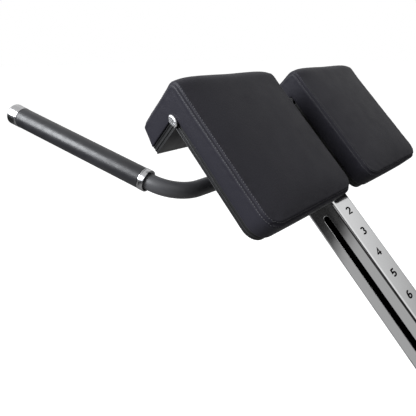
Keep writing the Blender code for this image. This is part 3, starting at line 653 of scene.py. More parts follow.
class PadShape:
    """The L of one pad, read from its CAD solid, as a slab folded over the boards."""

    def __init__(self, hand):
        low, high = span(f"hip_pad_{hand}")
        self.left, self.right = low.x, high.x
        self.end, self.flap_tip, self.top = low.y, low.z, high.z
        self.flap_end = self.flap_tip + FLAP_SLANT
        self.back = span(f"pad_board_{hand}")[1].z + 0.0012
        self.flap_back = span(f"flap_board_{hand}")[1].y + 0.0012
        self.straight = -self.end - FOLD_RADIUS
        self.bend = FOLD_RADIUS * math.pi / 2
        self.drop = self.top - FOLD_RADIUS - self.flap_end
        self.length = self.straight + self.bend + self.drop
        self.middle = self.straight + self.bend / 2

    def outer(self, s):
        """The point (d, n) at a distance along the L's outer line, from its lower end."""
        if s < self.straight:
            return Vector((self.end + s, self.top))
        if s < self.straight + self.bend:
            angle = (s - self.straight) / FOLD_RADIUS
            return Vector((-FOLD_RADIUS + FOLD_RADIUS * math.sin(angle),
                           self.top - FOLD_RADIUS + FOLD_RADIUS * math.cos(angle)))
        return Vector((0, self.top - FOLD_RADIUS - (s - self.straight - self.bend)))

    def inner(self, s):
        """The point on the boards' side that belongs to a point of the outer line."""
        if s < self.middle:
            share = s / self.middle
            slack = 1 - (self.flap_back - self.end) / self.middle
            return Vector((self.end + s * (1 - slack * share ** 3), self.back))
        rest = self.length - s
        whole = self.length - self.middle
        slack = 1 - (self.back - self.flap_tip) / whole
        return Vector((self.flap_back, self.flap_tip + rest * (1 - slack * rest / whole)))

    def tucked(self, u, v, t):
        """Shares of the slab, kept off its outer edges so that they come out round."""
        edge_x = EDGE_TUCK / (self.right - self.left)
        edge_t = EDGE_TUCK / (self.top - self.back)
        edge_v = EDGE_TUCK / self.length
        if t == 0 and (u in (0, 1) or v in (0, 1)):
            u = min(max(u, edge_x), 1 - edge_x)
            v = min(max(v, edge_v), 1 - edge_v)
            t = edge_t
        return u, v * self.length, t

    def rounded(self, s, t):
        """A place (s, t) of the slab with its two ends' outer corners made round."""
        thick = self.top - self.back
        depth = t * thick
        for edge, radius in ((0, LOW_END_RADIUS), (self.length, FLAP_END_RADIUS)):
            hub = abs(edge - radius)
            if abs(s - edge) < radius and depth < radius:
                s, depth = pull_corner(s, depth, hub, radius, radius)
        return s, depth / thick

    def fullness(self, u, s):
        """How far the foam stands out between the seams, most of all at the fold."""
        near_fold = math.exp(-((s - self.middle) / FOLD_SPREAD) ** 2)
        across = 1 - abs(2 * u - 1) ** 8
        along = 1 - abs(2 * s / self.length - 1) ** 20
        return across * (FOLD_FULL * near_fold + PAD_FULL * along)

    def point(self, u, s, t):
        """A point of the slab: u across from 0 to 1, s along, t from the outside in."""
        s, t = self.rounded(s, t)
        place = self.outer(s).lerp(self.inner(s), t)
        turn = min(max((s - self.straight) / FOLD_RADIUS, 0), math.pi / 2)
        place += Vector((math.sin(turn), math.cos(turn))) * self.fullness(u, s) * (1 - t) ** 2
        return Vector((self.left + (self.right - self.left) * u, place.x, place.y))


def pull_corner(value, across, centre_value, centre_across, radius):
    """Pull a point of a square corner into a round one."""
    a = abs(value - centre_value) / radius
    b = abs(across - centre_across) / radius
    if a <= 0 or b <= 0:
        return value, across
    factor = max(a, b) / math.hypot(a, b)
    return centre_value + (value - centre_value) * factor, centre_across + (across - centre_across) * factor


def pad_grid(pad):
    """The pad's surface as a grid of quads, and its seam line's vertices in order."""
    wide = round((pad.right - pad.left) / CELL)
    long = round(pad.length / CELL)
    deep = 6
    shape = bmesh.new()
    verts = {}
    for i in range(wide + 1):
        for j in range(long + 1):
            for k in range(deep + 1):
                if i in (0, wide) or j in (0, long) or k in (0, deep):
                    place = pad.point(*pad.tucked(i / wide, j / long, k / deep))
                    for radius, axis, edge in ((END_CORNER, 1, pad.end), (FLAP_CORNER, 2, pad.flap_end)):
                        near_x = max(pad.left + radius, min(place.x, pad.right - radius))
                        if place.x != near_x and place[axis] < edge + radius:
                            place.x, place[axis] = pull_corner(place.x, place[axis], near_x,
                                                               edge + radius, radius)
                    verts[i, j, k] = shape.verts.new(place)

    def quad(*corners):
        shape.faces.new([verts[corner] for corner in corners])

    for i in range(wide):
        for j in range(long):
            for k in (0, deep):
                quad((i, j, k), (i + 1, j, k), (i + 1, j + 1, k), (i, j + 1, k))
    for k in range(deep):
        for i in range(wide):
            for j in (0, long):
                quad((i, j, k), (i + 1, j, k), (i + 1, j, k + 1), (i, j, k + 1))
        for j in range(long):
            for i in (0, wide):
                quad((i, j, k), (i, j + 1, k), (i, j + 1, k + 1), (i, j, k + 1))
    crease = shape.edges.layers.float.new("crease_edge")
    brim = {verts[i, j, deep] for i in range(wide + 1) for j in range(long + 1)
            if i in (0, wide) or j in (0, long)}
    for edge in shape.edges:
        if brim.issuperset(edge.verts):
            edge[crease] = BACK_CREASE
    shape.verts.index_update()
    walk = [(i, 0) for i in range(wide)] + [(wide, j) for j in range(long)]
    walk += [(i, long) for i in range(wide, 0, -1)] + [(0, j) for j in range(long, 0, -1)]
    seam = [verts[i, j, 0].index for i, j in walk]
    backed = [vert.index for (i, j, k), vert in verts.items() if k == deep]
    bmesh.ops.recalc_face_normals(shape, faces=shape.faces)
    return mesh_of("pad", shape), seam, backed


def swell(mesh, pinned):
    """Blow a cushion up with a cloth simulation, held at its pinned vertices, and cap how far it goes."""
    rest = [vert.co.copy() for vert in mesh.vertices]
    blown = placed("swelling", mesh)
    scene = bpy.context.scene
    held = blown.vertex_groups.new(name="held")
    held.add(pinned, 1.0, "REPLACE")
    cloth = blown.modifiers.new("cloth", "CLOTH")
    cloth.settings.vertex_group_mass = "held"
    cloth.settings.use_pressure = True
    cloth.settings.uniform_pressure_force = CLOTH_PRESSURE
    cloth.settings.effector_weights.gravity = 0
    cloth.point_cache.frame_start = 1
    cloth.point_cache.frame_end = CLOTH_FRAMES
    for step in range(CLOTH_FRAMES):
        scene.frame_set(step + 1)
    graph = bpy.context.evaluated_depsgraph_get()
    moved = [vert.co.copy() for vert in blown.evaluated_get(graph).data.vertices]
    blown.modifiers.remove(cloth)
    scene.frame_set(1)
    ways = [end - start for start, end in zip(rest, moved)]
    fixed = set(pinned)
    links = [(a, b) for a, b in (edge.vertices for edge in mesh.edges) if a not in fixed and b not in fixed]
    for _ in range(EVENING):
        sums = [way.copy() for way in ways]
        counts = [1] * len(ways)
        for a, b in links:
            sums[a] += ways[b]
            sums[b] += ways[a]
            counts[a] += 1
            counts[b] += 1
        ways = [total / count for total, count in zip(sums, counts)]
    for vert, start, way in zip(mesh.vertices, rest, ways):
        if way.length > 1e-7:
            vert.co = start + way * (CROWN * math.tanh(way.length / CROWN) / way.length)
    bpy.data.objects.remove(blown)


def subdivided(mesh, levels):
    """A smoother copy of a mesh."""
    holder = placed("holder", mesh)
    finer = holder.modifiers.new("finer", "SUBSURF")
    finer.levels = levels
    finer.render_levels = levels
    made = with_modifiers(holder)
    bpy.data.objects.remove(holder)
    return made


def tree_of(mesh):
    """A search tree of a mesh's surface."""
    shape = bmesh.new()
    shape.from_mesh(mesh)
    tree = BVHTree.FromBMesh(shape)
    shape.free()
    return tree


def even_steps(points, pitch, closed=True):
    """Points at an even pitch along a line."""
    line = points + points[:1] if closed else points
    total = sum((b - a).length for a, b in zip(line, line[1:]))
    count = max(2, round(total / pitch))
    made, index, passed = [], 0, 0.0
    for step in range(count if closed else count + 1):
        goal = total * step / count
        while index < len(line) - 2 and passed + (line[index + 1] - line[index]).length < goal:
            passed += (line[index + 1] - line[index]).length
            index += 1
        run = line[index + 1] - line[index]
        made.append(line[index] + run * ((goal - passed) / max(run.length, 1e-9)))
    return made


def band(away, high, middle, wide):
    """A soft ridge of a height, at a distance and with a width."""
    return high * math.exp(-((away - middle) / wide) ** 2)


def sew(mesh, seam):
    """Press the seam into a cushion's surface and gather the vinyl a little beside it."""
    tree = tree_of(mesh)
    line = [tree.find_nearest(point)[0] for point in even_steps(seam, 0.0008)]
    near = KDTree(len(line))
    for index, point in enumerate(line):
        near.insert(point, index)
    near.balance()
    normals = [vert.normal.copy() for vert in mesh.vertices]
    for vert, normal in zip(mesh.vertices, normals):
        away = near.find(vert.co)[2]
        if away < SEAM_REACH:
            valley = band(away, *SEAM_VALLEY)
            ridge = band(away, *SEAM_RIDGE)
            gather = band(away, *SEAM_GATHER) * noise.noise(vert.co * GATHERS)
            vert.co = vert.co + normal * (valley + ridge + gather)
    return line


def stitches(mesh, line):
    """Two rows of stitches beside a seam: a mesh of short threads sunk in the vinyl."""
    tree = tree_of(mesh)
    shape = bmesh.new()
    points = even_steps(line, STITCH_PITCH)
    for index, point in enumerate(points):
        way = (points[(index + 1) % len(points)] - points[index - 1]).normalized()
        across = way.cross(tree.find_nearest(point)[1]).normalized()
        for side in (-1, 1):
            place, up = tree.find_nearest(point + across * side * STITCH_OFFSET)[:2]
            run = (way - up * way.dot(up)).normalized()
            rings = []
            for share, size in STITCH_FORM:
                middle = place + run * STITCH_LENGTH * share - up * STITCH_SINK * (1 - size)
                rings.append(circle(shape, middle, run.cross(up), up, STITCH_RADIUS * size, 6) if size
                             else [shape.verts.new(middle)])
            for first, second in zip(rings, rings[1:]):
                bridge(shape, first, second)
    return mesh_of("stitches", shape)


def mirrored(mesh):
    """The other hand of a mesh."""
    other = mesh.copy()
    other.transform(Matrix.Diagonal((-1, 1, 1, 1)))
    other.flip_normals()
    return other


def hip_pads():
    """Both cushions: swelled by simulation, sewn, then laid on the boards."""
    pad = PadShape("left")
    mesh, seam, backed = pad_grid(pad)
    seam_line = [mesh.vertices[index].co.copy() for index in seam]
    swell(mesh, seam + backed)
    fine = subdivided(mesh, 2)
    line = sew(fine, seam_line)
    threads = stitches(fine, line)
    for hand, sign in SIDES.items():
        cover = fine.copy() if sign < 0 else mirrored(fine)
        cover.transform(INCLINE)
        cushion = made_of(f"cushion_{hand}", cover, VINYL, "post", f"hip_pad_{hand}", sharp=180)
        sewing = threads.copy() if sign < 0 else mirrored(threads)
        sewing.transform(INCLINE)
        made_of(f"cushion_stitching_{hand}", sewing, THREAD, "post", sharp=180)


# ---------------------------------------------------------------- small helpers for hard pieces
def turn_piece(name, node, way, profile, skin, body, steps=96, closed=False, change=None):
    """Replace a turned node; profile(length, radius) is its outline, up from its low end."""
    place, length, radius = spindle(node, way)
    shape = turned(profile(length, radius), steps, closed)
    if change:
        for vert in shape.verts:
            change(vert)
    shape.transform(place)
    made = piece(name, shape, skin, body, node)
    marks = made.data.attributes.new("along", "FLOAT", "POINT")
    marks.data.foreach_set("value", [vert.co.dot(way) for vert in made.data.vertices])
    return made


def screw(head, height, socket):
    """A button-head screw with a hexagon socket; its head stands on the origin, up along Z."""
    floor = height * 0.4
    dome = eased([(socket * 1.25, height, 0), (head * 0.80, height * 0.97, head * 0.25),
                  (head, height * 0.35, head * 0.1), (head, 0, 0)])
    return turned([(0, floor), (socket, floor, 6), (socket, height, 6), *dome, (0, 0)], steps=48)


def hexagon(flats, height, hole):
    """A nut with chamfered corners round the end of its bolt, up along Z."""
    far = flats / 2
    chamfer = height * 0.12
    return turned([(0, height * 1.25), (hole * 0.8, height * 1.25), (hole, height * 1.1), (hole, height),
                   (far * 0.96, height), (far, height - chamfer, 6), (far, chamfer, 6),
                   (far * 0.96, 0), (0, 0)], steps=72)


def upright(place, way):
    """A matrix at a place of the incline, with Z along one of its directions."""
    turn = Vector(way).to_track_quat("Z", "Y").to_matrix().to_4x4()
    return INCLINE @ Matrix.Translation(place) @ turn


def fasteners(name, body, part, sizes, places, way):
    """Copies of a small turned part at places of the incline, all pointing one way."""
    shape = bmesh.new()
    for place in places:
        put(shape, part(*sizes), upright(place, way))
    return piece(name, shape, ZINC, body)


def weld(name, node, way, body, at_high):
    """A painted weld bead round one end of a tube."""
    low, high = reach(node, way)
    level = high if at_high else low
    side = way.orthogonal().normalized()
    other = way.cross(side)
    points = [vert.co for vert in NODES[node].data.vertices if abs(vert.co.dot(way) - level) < WELD_SLICE]
    flat = [(point.dot(side), point.dot(other)) for point in points]
    loop = [side * flat[index][0] + other * flat[index][1] + way * level for index in convex_hull_2d(flat)]

    def bead(along):
        return WELD_RADIUS * (1 + WELD_WAVE * abs(math.sin(math.pi * along / WELD_RIPPLE)))

    shape = sweep(even_steps(loop, WELD_STEP), bead, sides=8, closed=True)
    return piece(name, shape, PAINT, body, sharp=60)


WELD_SLICE = 0.0006
WELD_STEP = 0.0008
WELD_RADIUS = 0.0021
WELD_RIPPLE = 0.0032
WELD_WAVE = 0.16


# ---------------------------------------------------------------- boards and corner caps
BOARD_RIB = 0.0015
CORE_DEPTH = 0.0014
BOARD_CORNER = 0.025
FLAP_BOARD_CORNER = 0.001


def layered(low, high, corner):
    """A board: three thin rims in XY stacked along Z, and the recessed core between them."""
    rims, core = bmesh.new(), bmesh.new()
    for share in (0, 0.5, 1):
        start = low.z + (high.z - low.z - BOARD_RIB) * share
        put(rims, slab(rectangle(low.x, low.y, high.x, high.y, corner, 0.001), start,
                       start + BOARD_RIB, 0.0005, 2))
    inset = CORE_DEPTH
    outline = rectangle(low.x + inset, low.y + 0.0004, high.x - inset, high.y - inset, corner - inset, 0.001)
    put(core, slab(outline, low.z + BOARD_RIB / 2, high.z - BOARD_RIB / 2, 0.0001, 1))
    return rims, core


def boards():
    """The pads' boards and the disc on each outer end of the rod between them."""
    upended = Matrix(((1, 0, 0, 0), (0, 0, -1, 0), (0, 1, 0, 0), (0, 0, 0, 1)))
    for hand, sign in SIDES.items():
        low, high = span(f"pad_board_{hand}")
        layers = {"pad": (layered(low, high, BOARD_CORNER), Matrix.Identity(4))}
        low, high = span(f"flap_board_{hand}")
        low.z = span(f"hip_pad_{hand}")[0].z
        flap = layered(Vector((low.x, low.z, -high.y)), Vector((high.x, high.z, -low.y)), FLAP_BOARD_CORNER)
        layers["flap"] = (flap, upended)
        for board, ((rims, core), turn) in layers.items():
            for shape in (rims, core):
                shape.transform(INCLINE @ turn)
            piece(f"{board}_board_rims_{hand}", rims, BOARD, "post", f"{board}_board_{hand}")
            # the core's darker material is painted shade in the grooves between the rims
            piece(f"{board}_board_core_shade_{hand}", core, CORE_SHADE, "post")
        corner_cap(hand, sign)


CAP_NARROW = 0.64                  # the disc is oval, long along the post
CAP_HOLE_RADIUS = 0.0016
CAP_HOLE_PLACES = (-0.0052, 0.0044)


def cap_outline(length, radius):
    """A shallow disc with a rounded rim."""
    return eased([(0, 0, 0), (radius, 0, 0.0004), (radius, length * 0.60, 0.0014),
                  (radius * 0.78, length, 0.0020), (radius * 0.3, length * 0.92, 0.002),
                  (0, length * 0.95, 0)])


def corner_cap(hand, sign):
    """The bright oval disc where the boards meet, with two holes for its driver."""
    node = f"corner_cap_{hand}"
    place, length, radius = spindle(node, X * sign)
    cap = turned(cap_outline(length, radius), 96)
    long_way = place.to_3x3().inverted() @ D
    angle = math.atan2(long_way.y, long_way.x)
    cap.transform(Matrix.Rotation(angle, 4, "Z") @ Matrix.Diagonal((1, CAP_NARROW, 1, 1)))
    holes = bmesh.new()
    for far in CAP_HOLE_PLACES:
        spot = (far * math.cos(angle), far * math.sin(angle), length * 0.25)
        hole = turned([(0, length), (CAP_HOLE_RADIUS, length), (CAP_HOLE_RADIUS, 0), (0, 0)], 24)
        put(holes, hole, Matrix.Translation(spot))
    shape = carved(cap, holes)
    shape.transform(place)
    piece(f"corner_disc_{hand}", shape, CAST, "post", node)


def carved(shape, tool):
    """One small bmesh with another cut out of it."""
    pair = []
    for part in (shape, tool):
        bmesh.ops.recalc_face_normals(part, faces=part.faces)
        pair.append(placed("carving", mesh_of("carving", part)))
    cut = pair[0].modifiers.new("cut", "BOOLEAN")
    cut.object = pair[1]
    cut.solver = "EXACT"
    mesh = with_modifiers(pair[0])
    for made in pair:
        bpy.data.objects.remove(made)
    result = bmesh.new()
    result.from_mesh(mesh)
    bpy.data.meshes.remove(mesh)
    return result


# ---------------------------------------------------------------- handlebar
BAR_RADIUS = 0.014
BAR_BORE = 0.012
BAR_PLAY = 0.0001
BAR_BEND = 0.065
BEND_STEPS = 28
RING_LIP = 0.0018
RING_GROOVE = 0.0005
RING_RADIUS = 0.0187
RING_WALL = 0.0022
RING_RECESS = 0.0050               # the rings' open ends leave a dark gap round the bar


def grip_way(hand):
    """The direction of one grip, outward and forward."""
    return (centre(f"end_ring_{hand}") - centre(f"inner_ring_{hand}")).normalized()


def bar_bend(hand):
    """Points round one bend of the bar, from its straight middle to its grip."""
    sign = SIDES[hand]
    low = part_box("handlebar")[0]
    start = centre(f"inner_ring_{hand}")
    way = grip_way(hand)
    middle_y = low.y + BAR_RADIUS
    corner = start - way * ((start.y - middle_y) / way.y)
    inward = X * -sign
    half_angle = inward.angle(way) / 2
    tangent = BAR_BEND / math.tan(half_angle)
    hub = corner + (inward + way).normalized() * BAR_BEND / math.sin(half_angle)
    first = (corner + inward * tangent - hub).normalized()
    last = (corner + way * tangent - hub).normalized()
    return [hub + first.slerp(last, step / BEND_STEPS) * BAR_BEND for step in range(BEND_STEPS + 1)]


def grip_outline(length, radius):
    """A sleeve on the bar with rounded outer corners."""
    bore = BAR_RADIUS + BAR_PLAY
    return eased([(bore, 0, 0.0003), (radius, 0, 0.0012), (radius, length, 0.0012), (bore, length, 0.0003)],
                 closed=True)


def ring_outline(length, rim):
    """A ring with an open low end, and a narrow lip and groove at its high end."""
    bore = BAR_RADIUS + BAR_PLAY
    mouth = RING_RADIUS - RING_WALL
    groove = length - RING_LIP
    return eased([(bore, RING_RECESS, 0), (mouth, RING_RECESS, 0), (mouth, 0, 0.0004), (RING_RADIUS, 0, rim),
                  (RING_RADIUS, groove - 2 * RING_GROOVE, 0.0002),
                  (RING_RADIUS - RING_GROOVE, groove - RING_GROOVE, 0.0002),
                  (RING_RADIUS, groove, 0.0002), (RING_RADIUS, length, 0.0007), (bore, length, 0.0003)],
                 closed=True, steps=4)


def plug_outline(length, radius):
    """A pressed-in plug with a slightly domed face inside a shallow rim."""
    lip = length - 0.0032
    return eased([(0, 0, 0), (BAR_BORE - 0.0003, 0, 0.0004), (BAR_BORE - 0.0003, lip, 0), (radius, lip, 0),
                  (radius, length - 0.0006, 0.0007), (radius * 0.84, length - 0.0004, 0.0004),
                  (radius * 0.78, length - 0.0012, 0.0004), (radius * 0.4, length - 0.0004, 0.003),
                  (0, length, 0)])


def handlebar():
    """The bent bar, its rubber grips, bright rings and end plugs."""
    route = []
    for hand in SIDES:
        way = grip_way(hand)
        bend = bar_bend(hand)
        end = bend[-1] + way * (reach("handlebar", way)[1] - bend[-1].dot(way))
        route += [*bend, end] if SIDES[hand] > 0 else [end, *reversed(bend)]
        turn_piece(f"rubber_grip_{hand}", f"grip_{hand}", way, grip_outline, GRIP, "post", closed=True)
        for name, node, out, rim in (("grip_stop", "inner_ring", way, 0.0007),
                                     ("grip_cap", "end_ring", -way, 0.0012)):
            turn_piece(f"{name}_{hand}", f"{node}_{hand}", out,
                       lambda length, radius: ring_outline(length, rim), ALLOY, "post", closed=True)
        turn_piece(f"bar_plug_{hand}", f"bar_end_plug_{hand}", way, plug_outline, PLASTIC, "post")
    piece("bent_bar", sweep(route, BAR_RADIUS, sides=48, bore=BAR_BORE), BAR_PAINT, "post", "handlebar")
    low, high = span("handle_saddle")
    inset = 0.0048
    places = [(x, d, low.z) for x in (low.x * 0.66, high.x * 0.66) for d in (low.y + inset, high.y - inset)]
    fasteners("saddle_screws", "post", screw, (0.0040, 0.0022, 0.0016), places, (0, 0, -1))


# ---------------------------------------------------------------- post and pad supports
FIRST_NUMBER_D = -0.282
HOLE_PITCH = 0.044
NUMBERS = range(2, 11)
NUMBER_HEIGHT = 0.0148
NUMBER_WIDE = 1.65                 # wide letterforms
NUMBER_STROKE = 0.20               # of its height
DIGIT_ADVANCE = 0.66
INK_THICK = 0.00012


def arc(x, y, wide, high, start, end):
    """Points of an oval's arc, with angles in degrees."""
    steps = max(3, round(abs(end - start) / 12))
    angles = [math.radians(start + (end - start) * step / steps) for step in range(steps + 1)]
    return [Vector((x + wide * math.cos(angle), y + high * math.sin(angle))) for angle in angles]


def run(*points):
    """A straight-sided stroke."""
    return [Vector(point) for point in points]


DIGITS = {                         # centre lines in a box 0.6 wide and 1 high, with x = 0 its middle
    "0": (arc(0, 0.5, 0.22, 0.41, 0, 360),),
    "1": (run((-0.17, 0.72), (0.04, 0.90), (0.04, 0.0)),),
    "2": (arc(0, 0.67, 0.21, 0.235, 168, -38) + run((-0.20, 0.10), (0.30, 0.10)),),
    "3": (arc(-0.01, 0.70, 0.19, 0.20, 150, -90), arc(-0.01, 0.295, 0.22, 0.205, 90, -150)),
    "4": (run((0.11, 0.0), (0.11, 0.88), (-0.24, 0.29), (0.30, 0.29)),),
    "5": (run((0.24, 0.90), (-0.14, 0.90), (-0.18, 0.52)) + arc(-0.01, 0.32, 0.22, 0.225, 118, -145),),
    "6": (arc(0, 0.31, 0.205, 0.215, 0, 360), arc(0.03, 0.40, 0.235, 0.50, 62, 185)),
    "7": (run((-0.25, 0.90), (0.24, 0.90), (-0.06, 0.0)),),
    "8": (arc(0, 0.70, 0.17, 0.20, 0, 360), arc(0, 0.295, 0.205, 0.205, 0, 360)),
    "9": (arc(0, 0.69, 0.205, 0.215, 0, 360), arc(-0.03, 0.60, 0.235, 0.50, -118, 5)),
}


def ribbon(shape, line, offset):
    """A stroke of even width, as a thin slab of ink."""
    closed = (line[0] - line[-1]).length < 1e-6
    if closed:
        line = line[:-1]
    edges = []
    for index, point in enumerate(line):
        ahead = line[(index + 1) % len(line)] if closed or index < len(line) - 1 else point
        behind = line[index - 1] if closed or index > 0 else point
        ways = [way.normalized() for way in (point - behind, ahead - point) if way.length > 1e-9]
        side = sum((Vector((-way.y, way.x)) for way in ways), Vector((0, 0))).normalized()
        spread = min(1.6, 1 / max(0.2, side.dot(Vector((-ways[0].y, ways[0].x)))))
        half = side * spread * NUMBER_STROKE / 2
        edges.append([(point + half + offset) * NUMBER_HEIGHT, (point - half + offset) * NUMBER_HEIGHT])
    rings = [[shape.verts.new((place.x * NUMBER_WIDE, place.y, level))
              for place, level in ((one, 0), (one, INK_THICK), (other, INK_THICK), (other, 0))]
             for one, other in edges]
    for first, second in zip(rings, rings[1:]):
        bridge(shape, first, second)
    if closed:
        bridge(shape, rings[-1], rings[0])
    else:
        shape.faces.new(rings[0])
        shape.faces.new(rings[-1])


def numbers():
    """The printed scale down the post's face, one number for each hole."""
    face = span("adjustment_post")[1].z
    shape = bmesh.new()
    for index, number in enumerate(NUMBERS):
        text = str(number)
        digits = bmesh.new()
        for place, digit in enumerate(text):
            shift = Vector(((place - (len(text) - 1) / 2) * DIGIT_ADVANCE, -0.5))
            for line in DIGITS[digit]:
                ribbon(digits, line, shift)
        put(shape, digits, Matrix.Translation((0, FIRST_NUMBER_D - HOLE_PITCH * index, face)))
    shape.transform(INCLINE)
    piece("post_numbers", shape, INK, "post", sharp=30)


def pad_fixings():
    """Screws from below into the boards, and bolts through the cross plates between the pads."""
    from_below, on_top = [], []
    for level in ("lower", "upper"):
        low, high = span(f"{level}_cross_plate")
        middle = (low.y + high.y) / 2
        from_below += [(share * high.x, middle, low.z) for share in (-0.86, -0.38, 0.38, 0.86)]
        on_top += [(share * high.x, middle, high.z) for share in (-0.075, 0.075)]
    fasteners("pad_screws", "post", screw, (0.0068, 0.0036, 0.0025), from_below, (0, 0, -1))
    fasteners("cross_plate_bolts", "post", screw, (0.0072, 0.0040, 0.0028), on_top, (0, 0, 1))


# ---------------------------------------------------------------- pop-pin, guide bolt
THREAD_PITCH = 0.0011
THREAD_DEPTH = 0.0004
KNOB_FLUTES = 14
KNOB_FLUTE = 0.0011


def housing_outline(length, radius):
    """A hexagon base and a threaded barrel, open through its middle."""
    base = 0.0088
    barrel, bore, mouth = 0.0108, 0.0088, 0.0062
    flats = radius * 0.95
    outline = [(bore, 0), (flats * 0.96, 0), (flats, 0.0008, 6), (flats, base - 0.0008, 6),
               (flats * 0.96, base), (barrel, base)]
    turns = int((length - base - 0.0016) / THREAD_PITCH)
    for turn in range(turns):
        foot = base + 0.0004 + turn * THREAD_PITCH
        outline += [(barrel, foot + THREAD_PITCH * 0.3), (barrel - THREAD_DEPTH, foot + THREAD_PITCH * 0.8)]
    return outline + [(barrel, length - 0.0010), (barrel - 0.0008, length), (mouth, length),
                      (mouth, length - 0.004), (bore, length - 0.004)]


def knob_outline(length, radius):
    """The pull knob: a waisted skirt under a domed head."""
    bore, inside = 0.0045, 0.0125
    return eased([(0, inside, 0), (bore, inside, 0), (bore, 0, 0), (0.0099, 0, 0.0006),
                  (0.0100, 0.0032, 0.002), (0.0130, 0.0068, 0.002), (radius * 0.93, 0.0110, 0.003),
                  (radius, 0.0180, 0.004), (radius * 0.95, 0.0236, 0.003), (0.0150, length - 0.0036, 0.003),
                  (0.0080, length - 0.0006, 0.003), (0, length, 0)])


def flute(vert):
    """Press the finger flutes into the knob's widest part."""
    far = vert.co.xy.length
    if far > 0.0128 and 0.006 < vert.co.z < 0.030:
        wave = 0.5 - 0.5 * math.cos(KNOB_FLUTES * math.atan2(vert.co.y, vert.co.x))
        share = math.sin(math.pi * (vert.co.z - 0.006) / 0.024)
        vert.co.xy *= 1 - KNOB_FLUTE * wave * share / far


def bolt_outline(length, radius):
    """The guide bolt: its nose in the slot, a round head and a hexagon socket."""
    under = 0.0115
    socket = 0.0040
    return [(0, 0), (0.0042, 0), (0.0050, 0.0010), (0.0050, under), (radius - 0.0004, under),
            (radius, under + 0.0004), (radius, length - 0.0014), (radius - 0.0005, length - 0.0005),
            (radius - 0.0014, length), (socket * 1.3, length), (socket, length - 0.0004, 6),
            (socket, length - 0.0034, 6), (0, length - 0.0040)]


SPRING_TURNS = 3
SPRING_WIRE = 0.0006


def return_spring():
    """The pin's spring: a fixed coil from the plunger's collar to the housing's lip, attached to no body."""
    low, high = reach("pin_spring", X)
    middle = spindle("pin_housing", X)[0].translation
    radius = spindle("pin_spring", X)[2] - SPRING_WIRE
    steps = SPRING_TURNS * 32
    coil = []
    for step in range(steps + 1):
        angle = math.tau * SPRING_TURNS * step / steps
        x = low + SPRING_WIRE + (high - low - 2 * SPRING_WIRE) * step / steps
        coil.append(Vector((x, middle.y + radius * math.cos(angle), middle.z + radius * math.sin(angle))))
    made = piece("return_spring", sweep(coil, SPRING_WIRE, sides=10), ZINC, None, "pin_spring")
    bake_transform(made)


def adjustment():
    """The pop-pin on the right of the sleeve and the guide bolt on its left."""
    return_spring()
    turn_piece("pin_body", "pin_housing", X, housing_outline, ZINC, "base", closed=True)
    turn_piece("pull_knob", "pin_knob", X, knob_outline, PLASTIC, "pin", steps=168, change=flute)
    turn_piece("slot_bolt", "guide_bolt", -X, bolt_outline, ZINC, "base", steps=72)


# ---------------------------------------------------------------- ankle rollers
ROLLER_BORE = 0.0135
ROLLER_EASE = 0.0085
AXLE_RADIUS = 0.0127
WASHER_PLAY = 0.0020


def roller_outline(length, radius):
    """A foam sleeve with soft shoulders, with enough rings for its dents."""
    count = 26
    side = [(radius, length * step / count) for step in range(1, count)]
    upper = eased([side[-1] + (0,), (radius, length, ROLLER_EASE),
                   (ROLLER_BORE + 0.004, length - 0.0006, 0.003),
                   (ROLLER_BORE, length - 0.0022, 0)], steps=6)
    lower = [(across, length - up) for across, up in reversed(upper)]
    return lower + side[1:-1] + upper


def dented(seed):
    """A vertex change that gives foam its slightly uneven surface."""
    def change(vert):
        far = vert.co.xy.length
        if far > ROLLER_BORE + 0.006:
            spot = vert.co + Vector((seed, 0, 0))
            wobble = 0.00075 * noise.noise(spot * 28) + 0.0003 * noise.noise(spot * 90)
            vert.co.xy *= 1 + (wobble - 0.0007) / far
    return change


def disc_outline(length, radius):
    """A domed end disc on a short stem."""
    stem, foot = AXLE_RADIUS - 0.0025, length - 0.0075
    return eased([(0, 0, 0), (stem, 0, 0.0005), (stem, foot, 0), (radius, foot, 0.0006),
                  (radius, foot + 0.0024, 0.0012), (radius * 0.78, length - 0.0022, 0.004),
                  (radius * 0.36, length - 0.0004, 0.004), (0, length, 0)])


def axle_outline(length, washer):
    """A tube with a stop washer each side of the mast, from one end to the other."""
    half = length / 2
    near = span("roller_mast")[1].x + 0.0003
    far = span("lower_roller_right")[0].x - WASHER_PLAY
    bore = AXLE_RADIUS - 0.002
    right = [(AXLE_RADIUS, near, 0), (washer, near, 0.0006), (washer, far, 0.0006), (AXLE_RADIUS, far, 0),
             (AXLE_RADIUS, half, 0.0005), (bore, half, 0.0003)]
    left = [(across, -along, ease) for across, along, ease in reversed(right)]
    return [(across, along + half) for across, along in eased(left + right, closed=True, steps=3)]


def rollers():
    """Four foam sleeves on two chromed axles, with a disc on each end."""
    for row, level in enumerate(("lower", "upper")):
        turn_piece(f"{level}_axle_tube", f"{level}_axle", X, axle_outline, CHROME, "base", closed=True)
        for hand, sign in SIDES.items():
            sleeve = turn_piece(f"{level}_foam_{hand}", f"{level}_roller_{hand}", X * sign,
                                roller_outline, FOAM, f"{level}_roller_{hand}", closed=True,
                                change=dented(3 * row + sign))
            turn_piece(f"{level}_end_disc_{hand}", f"{level}_disc_{hand}", X * sign, disc_outline,
                       CHROME, "base")


# ---------------------------------------------------------------- foot plate
MAT_BASE = 0.0022
MAT_BORDER = 0.006
RIB_PITCH = 0.0092
RIB_WIDTH = 0.0046


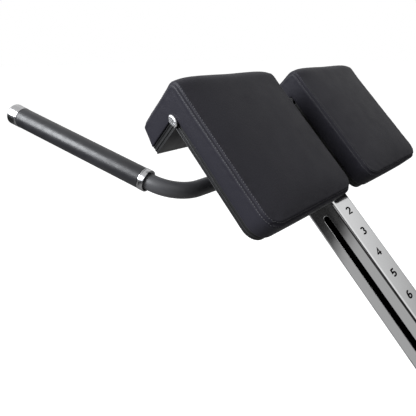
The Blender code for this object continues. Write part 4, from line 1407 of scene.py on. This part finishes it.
def foot_plate_fittings():
    """Ribbed rubber mats, and the bolts of the sleeve's flange."""
    for hand in SIDES:
        low, high = span(f"foot_mat_{hand}")
        shape = bmesh.new()
        outline = rectangle(low.x, -high.z, high.x, -low.z, 0.006, 0.006)
        put(shape, slab(outline, low.y, low.y + MAT_BASE, 0.0008))
        count = int((high.z - low.z - 2 * MAT_BORDER) / RIB_PITCH)
        start = (low.z + high.z - count * RIB_PITCH) / 2
        for index in range(count):
            middle = -(start + RIB_PITCH * (index + 0.5))
            rib = block((low.x + MAT_BORDER, middle - RIB_WIDTH / 2, low.y + MAT_BASE - 0.0004),
                        (high.x - MAT_BORDER, middle + RIB_WIDTH / 2, high.y), 0.0012, 2)
            put(shape, rib)
        shape.transform(INCLINE @ Matrix(((1, 0, 0, 0), (0, 0, 1, 0), (0, -1, 0, 0), (0, 0, 0, 1))))
        piece(f"ribbed_mat_{hand}", shape, RUBBER, "base", f"foot_mat_{hand}")
    low, high = span("sleeve_flange")
    inset = 0.0115
    spots = [(x, n) for x in (low.x + inset, high.x - inset) for n in (low.z + inset, high.z - inset)]
    fasteners("flange_bolts", "base", screw, (0.0070, 0.0045, 0.0028),
              [(x, high.y, n) for x, n in spots], (0, 1, 0))
    under = span("foot_plate")[0].y
    fasteners("flange_nuts", "base", hexagon, (0.013, 0.0055, 0.004),
              [(x, under, n) for x, n in spots], (0, -1, 0))


def welds():
    """Beads where the tubes of the base meet."""
    for name, node, way, at_high in (
            ("beam_front", "base_beam", Y, True), ("beam_rear", "base_beam", Y, False),
            ("front_strut_foot", "front_strut", Z, False), ("lower_strut_foot", "lower_strut", Z, False),
            ("rear_strut_foot", "rear_strut", Z, False), ("front_strut_head", "front_strut", N, True),
            ("lower_strut_head", "lower_strut", N, True), ("rear_strut_head", "rear_strut", D, True),
            ("mast_foot", "roller_mast", N, False), ("sleeve_foot", "post_sleeve", D, False)):
        weld(f"weld_{name}", node, way, "base", at_high)


# ---------------------------------------------------------------- CAD nodes that keep their shape
def carried_over():
    """The finish of every CAD node that is shown as it is."""
    dress(PAINT, "base_beam", "front_foot_tube", "rear_foot_tube", "front_strut", "lower_strut",
          "rear_strut", "post_sleeve", "sleeve_flange", "roller_mast", "foot_plate",
          "lower_cross_plate", "upper_cross_plate", "handle_saddle", "corner_rod_left",
          "corner_rod_right")
    dress(RUBBER, "front_shoe_left", "front_shoe_right", "rear_shoe_left", "rear_shoe_right")
    dress(PLASTIC, "sleeve_liner", "mast_cap", "post_top_cap", "post_glide")
    dress(POST_CHROME, "adjustment_post")
    dress(ZINC, "pin_plunger")


camera()
studio()
hip_pads()
boards()
handlebar()
numbers()
pad_fixings()
adjustment()
rollers()
foot_plate_fittings()
welds()
carried_over()
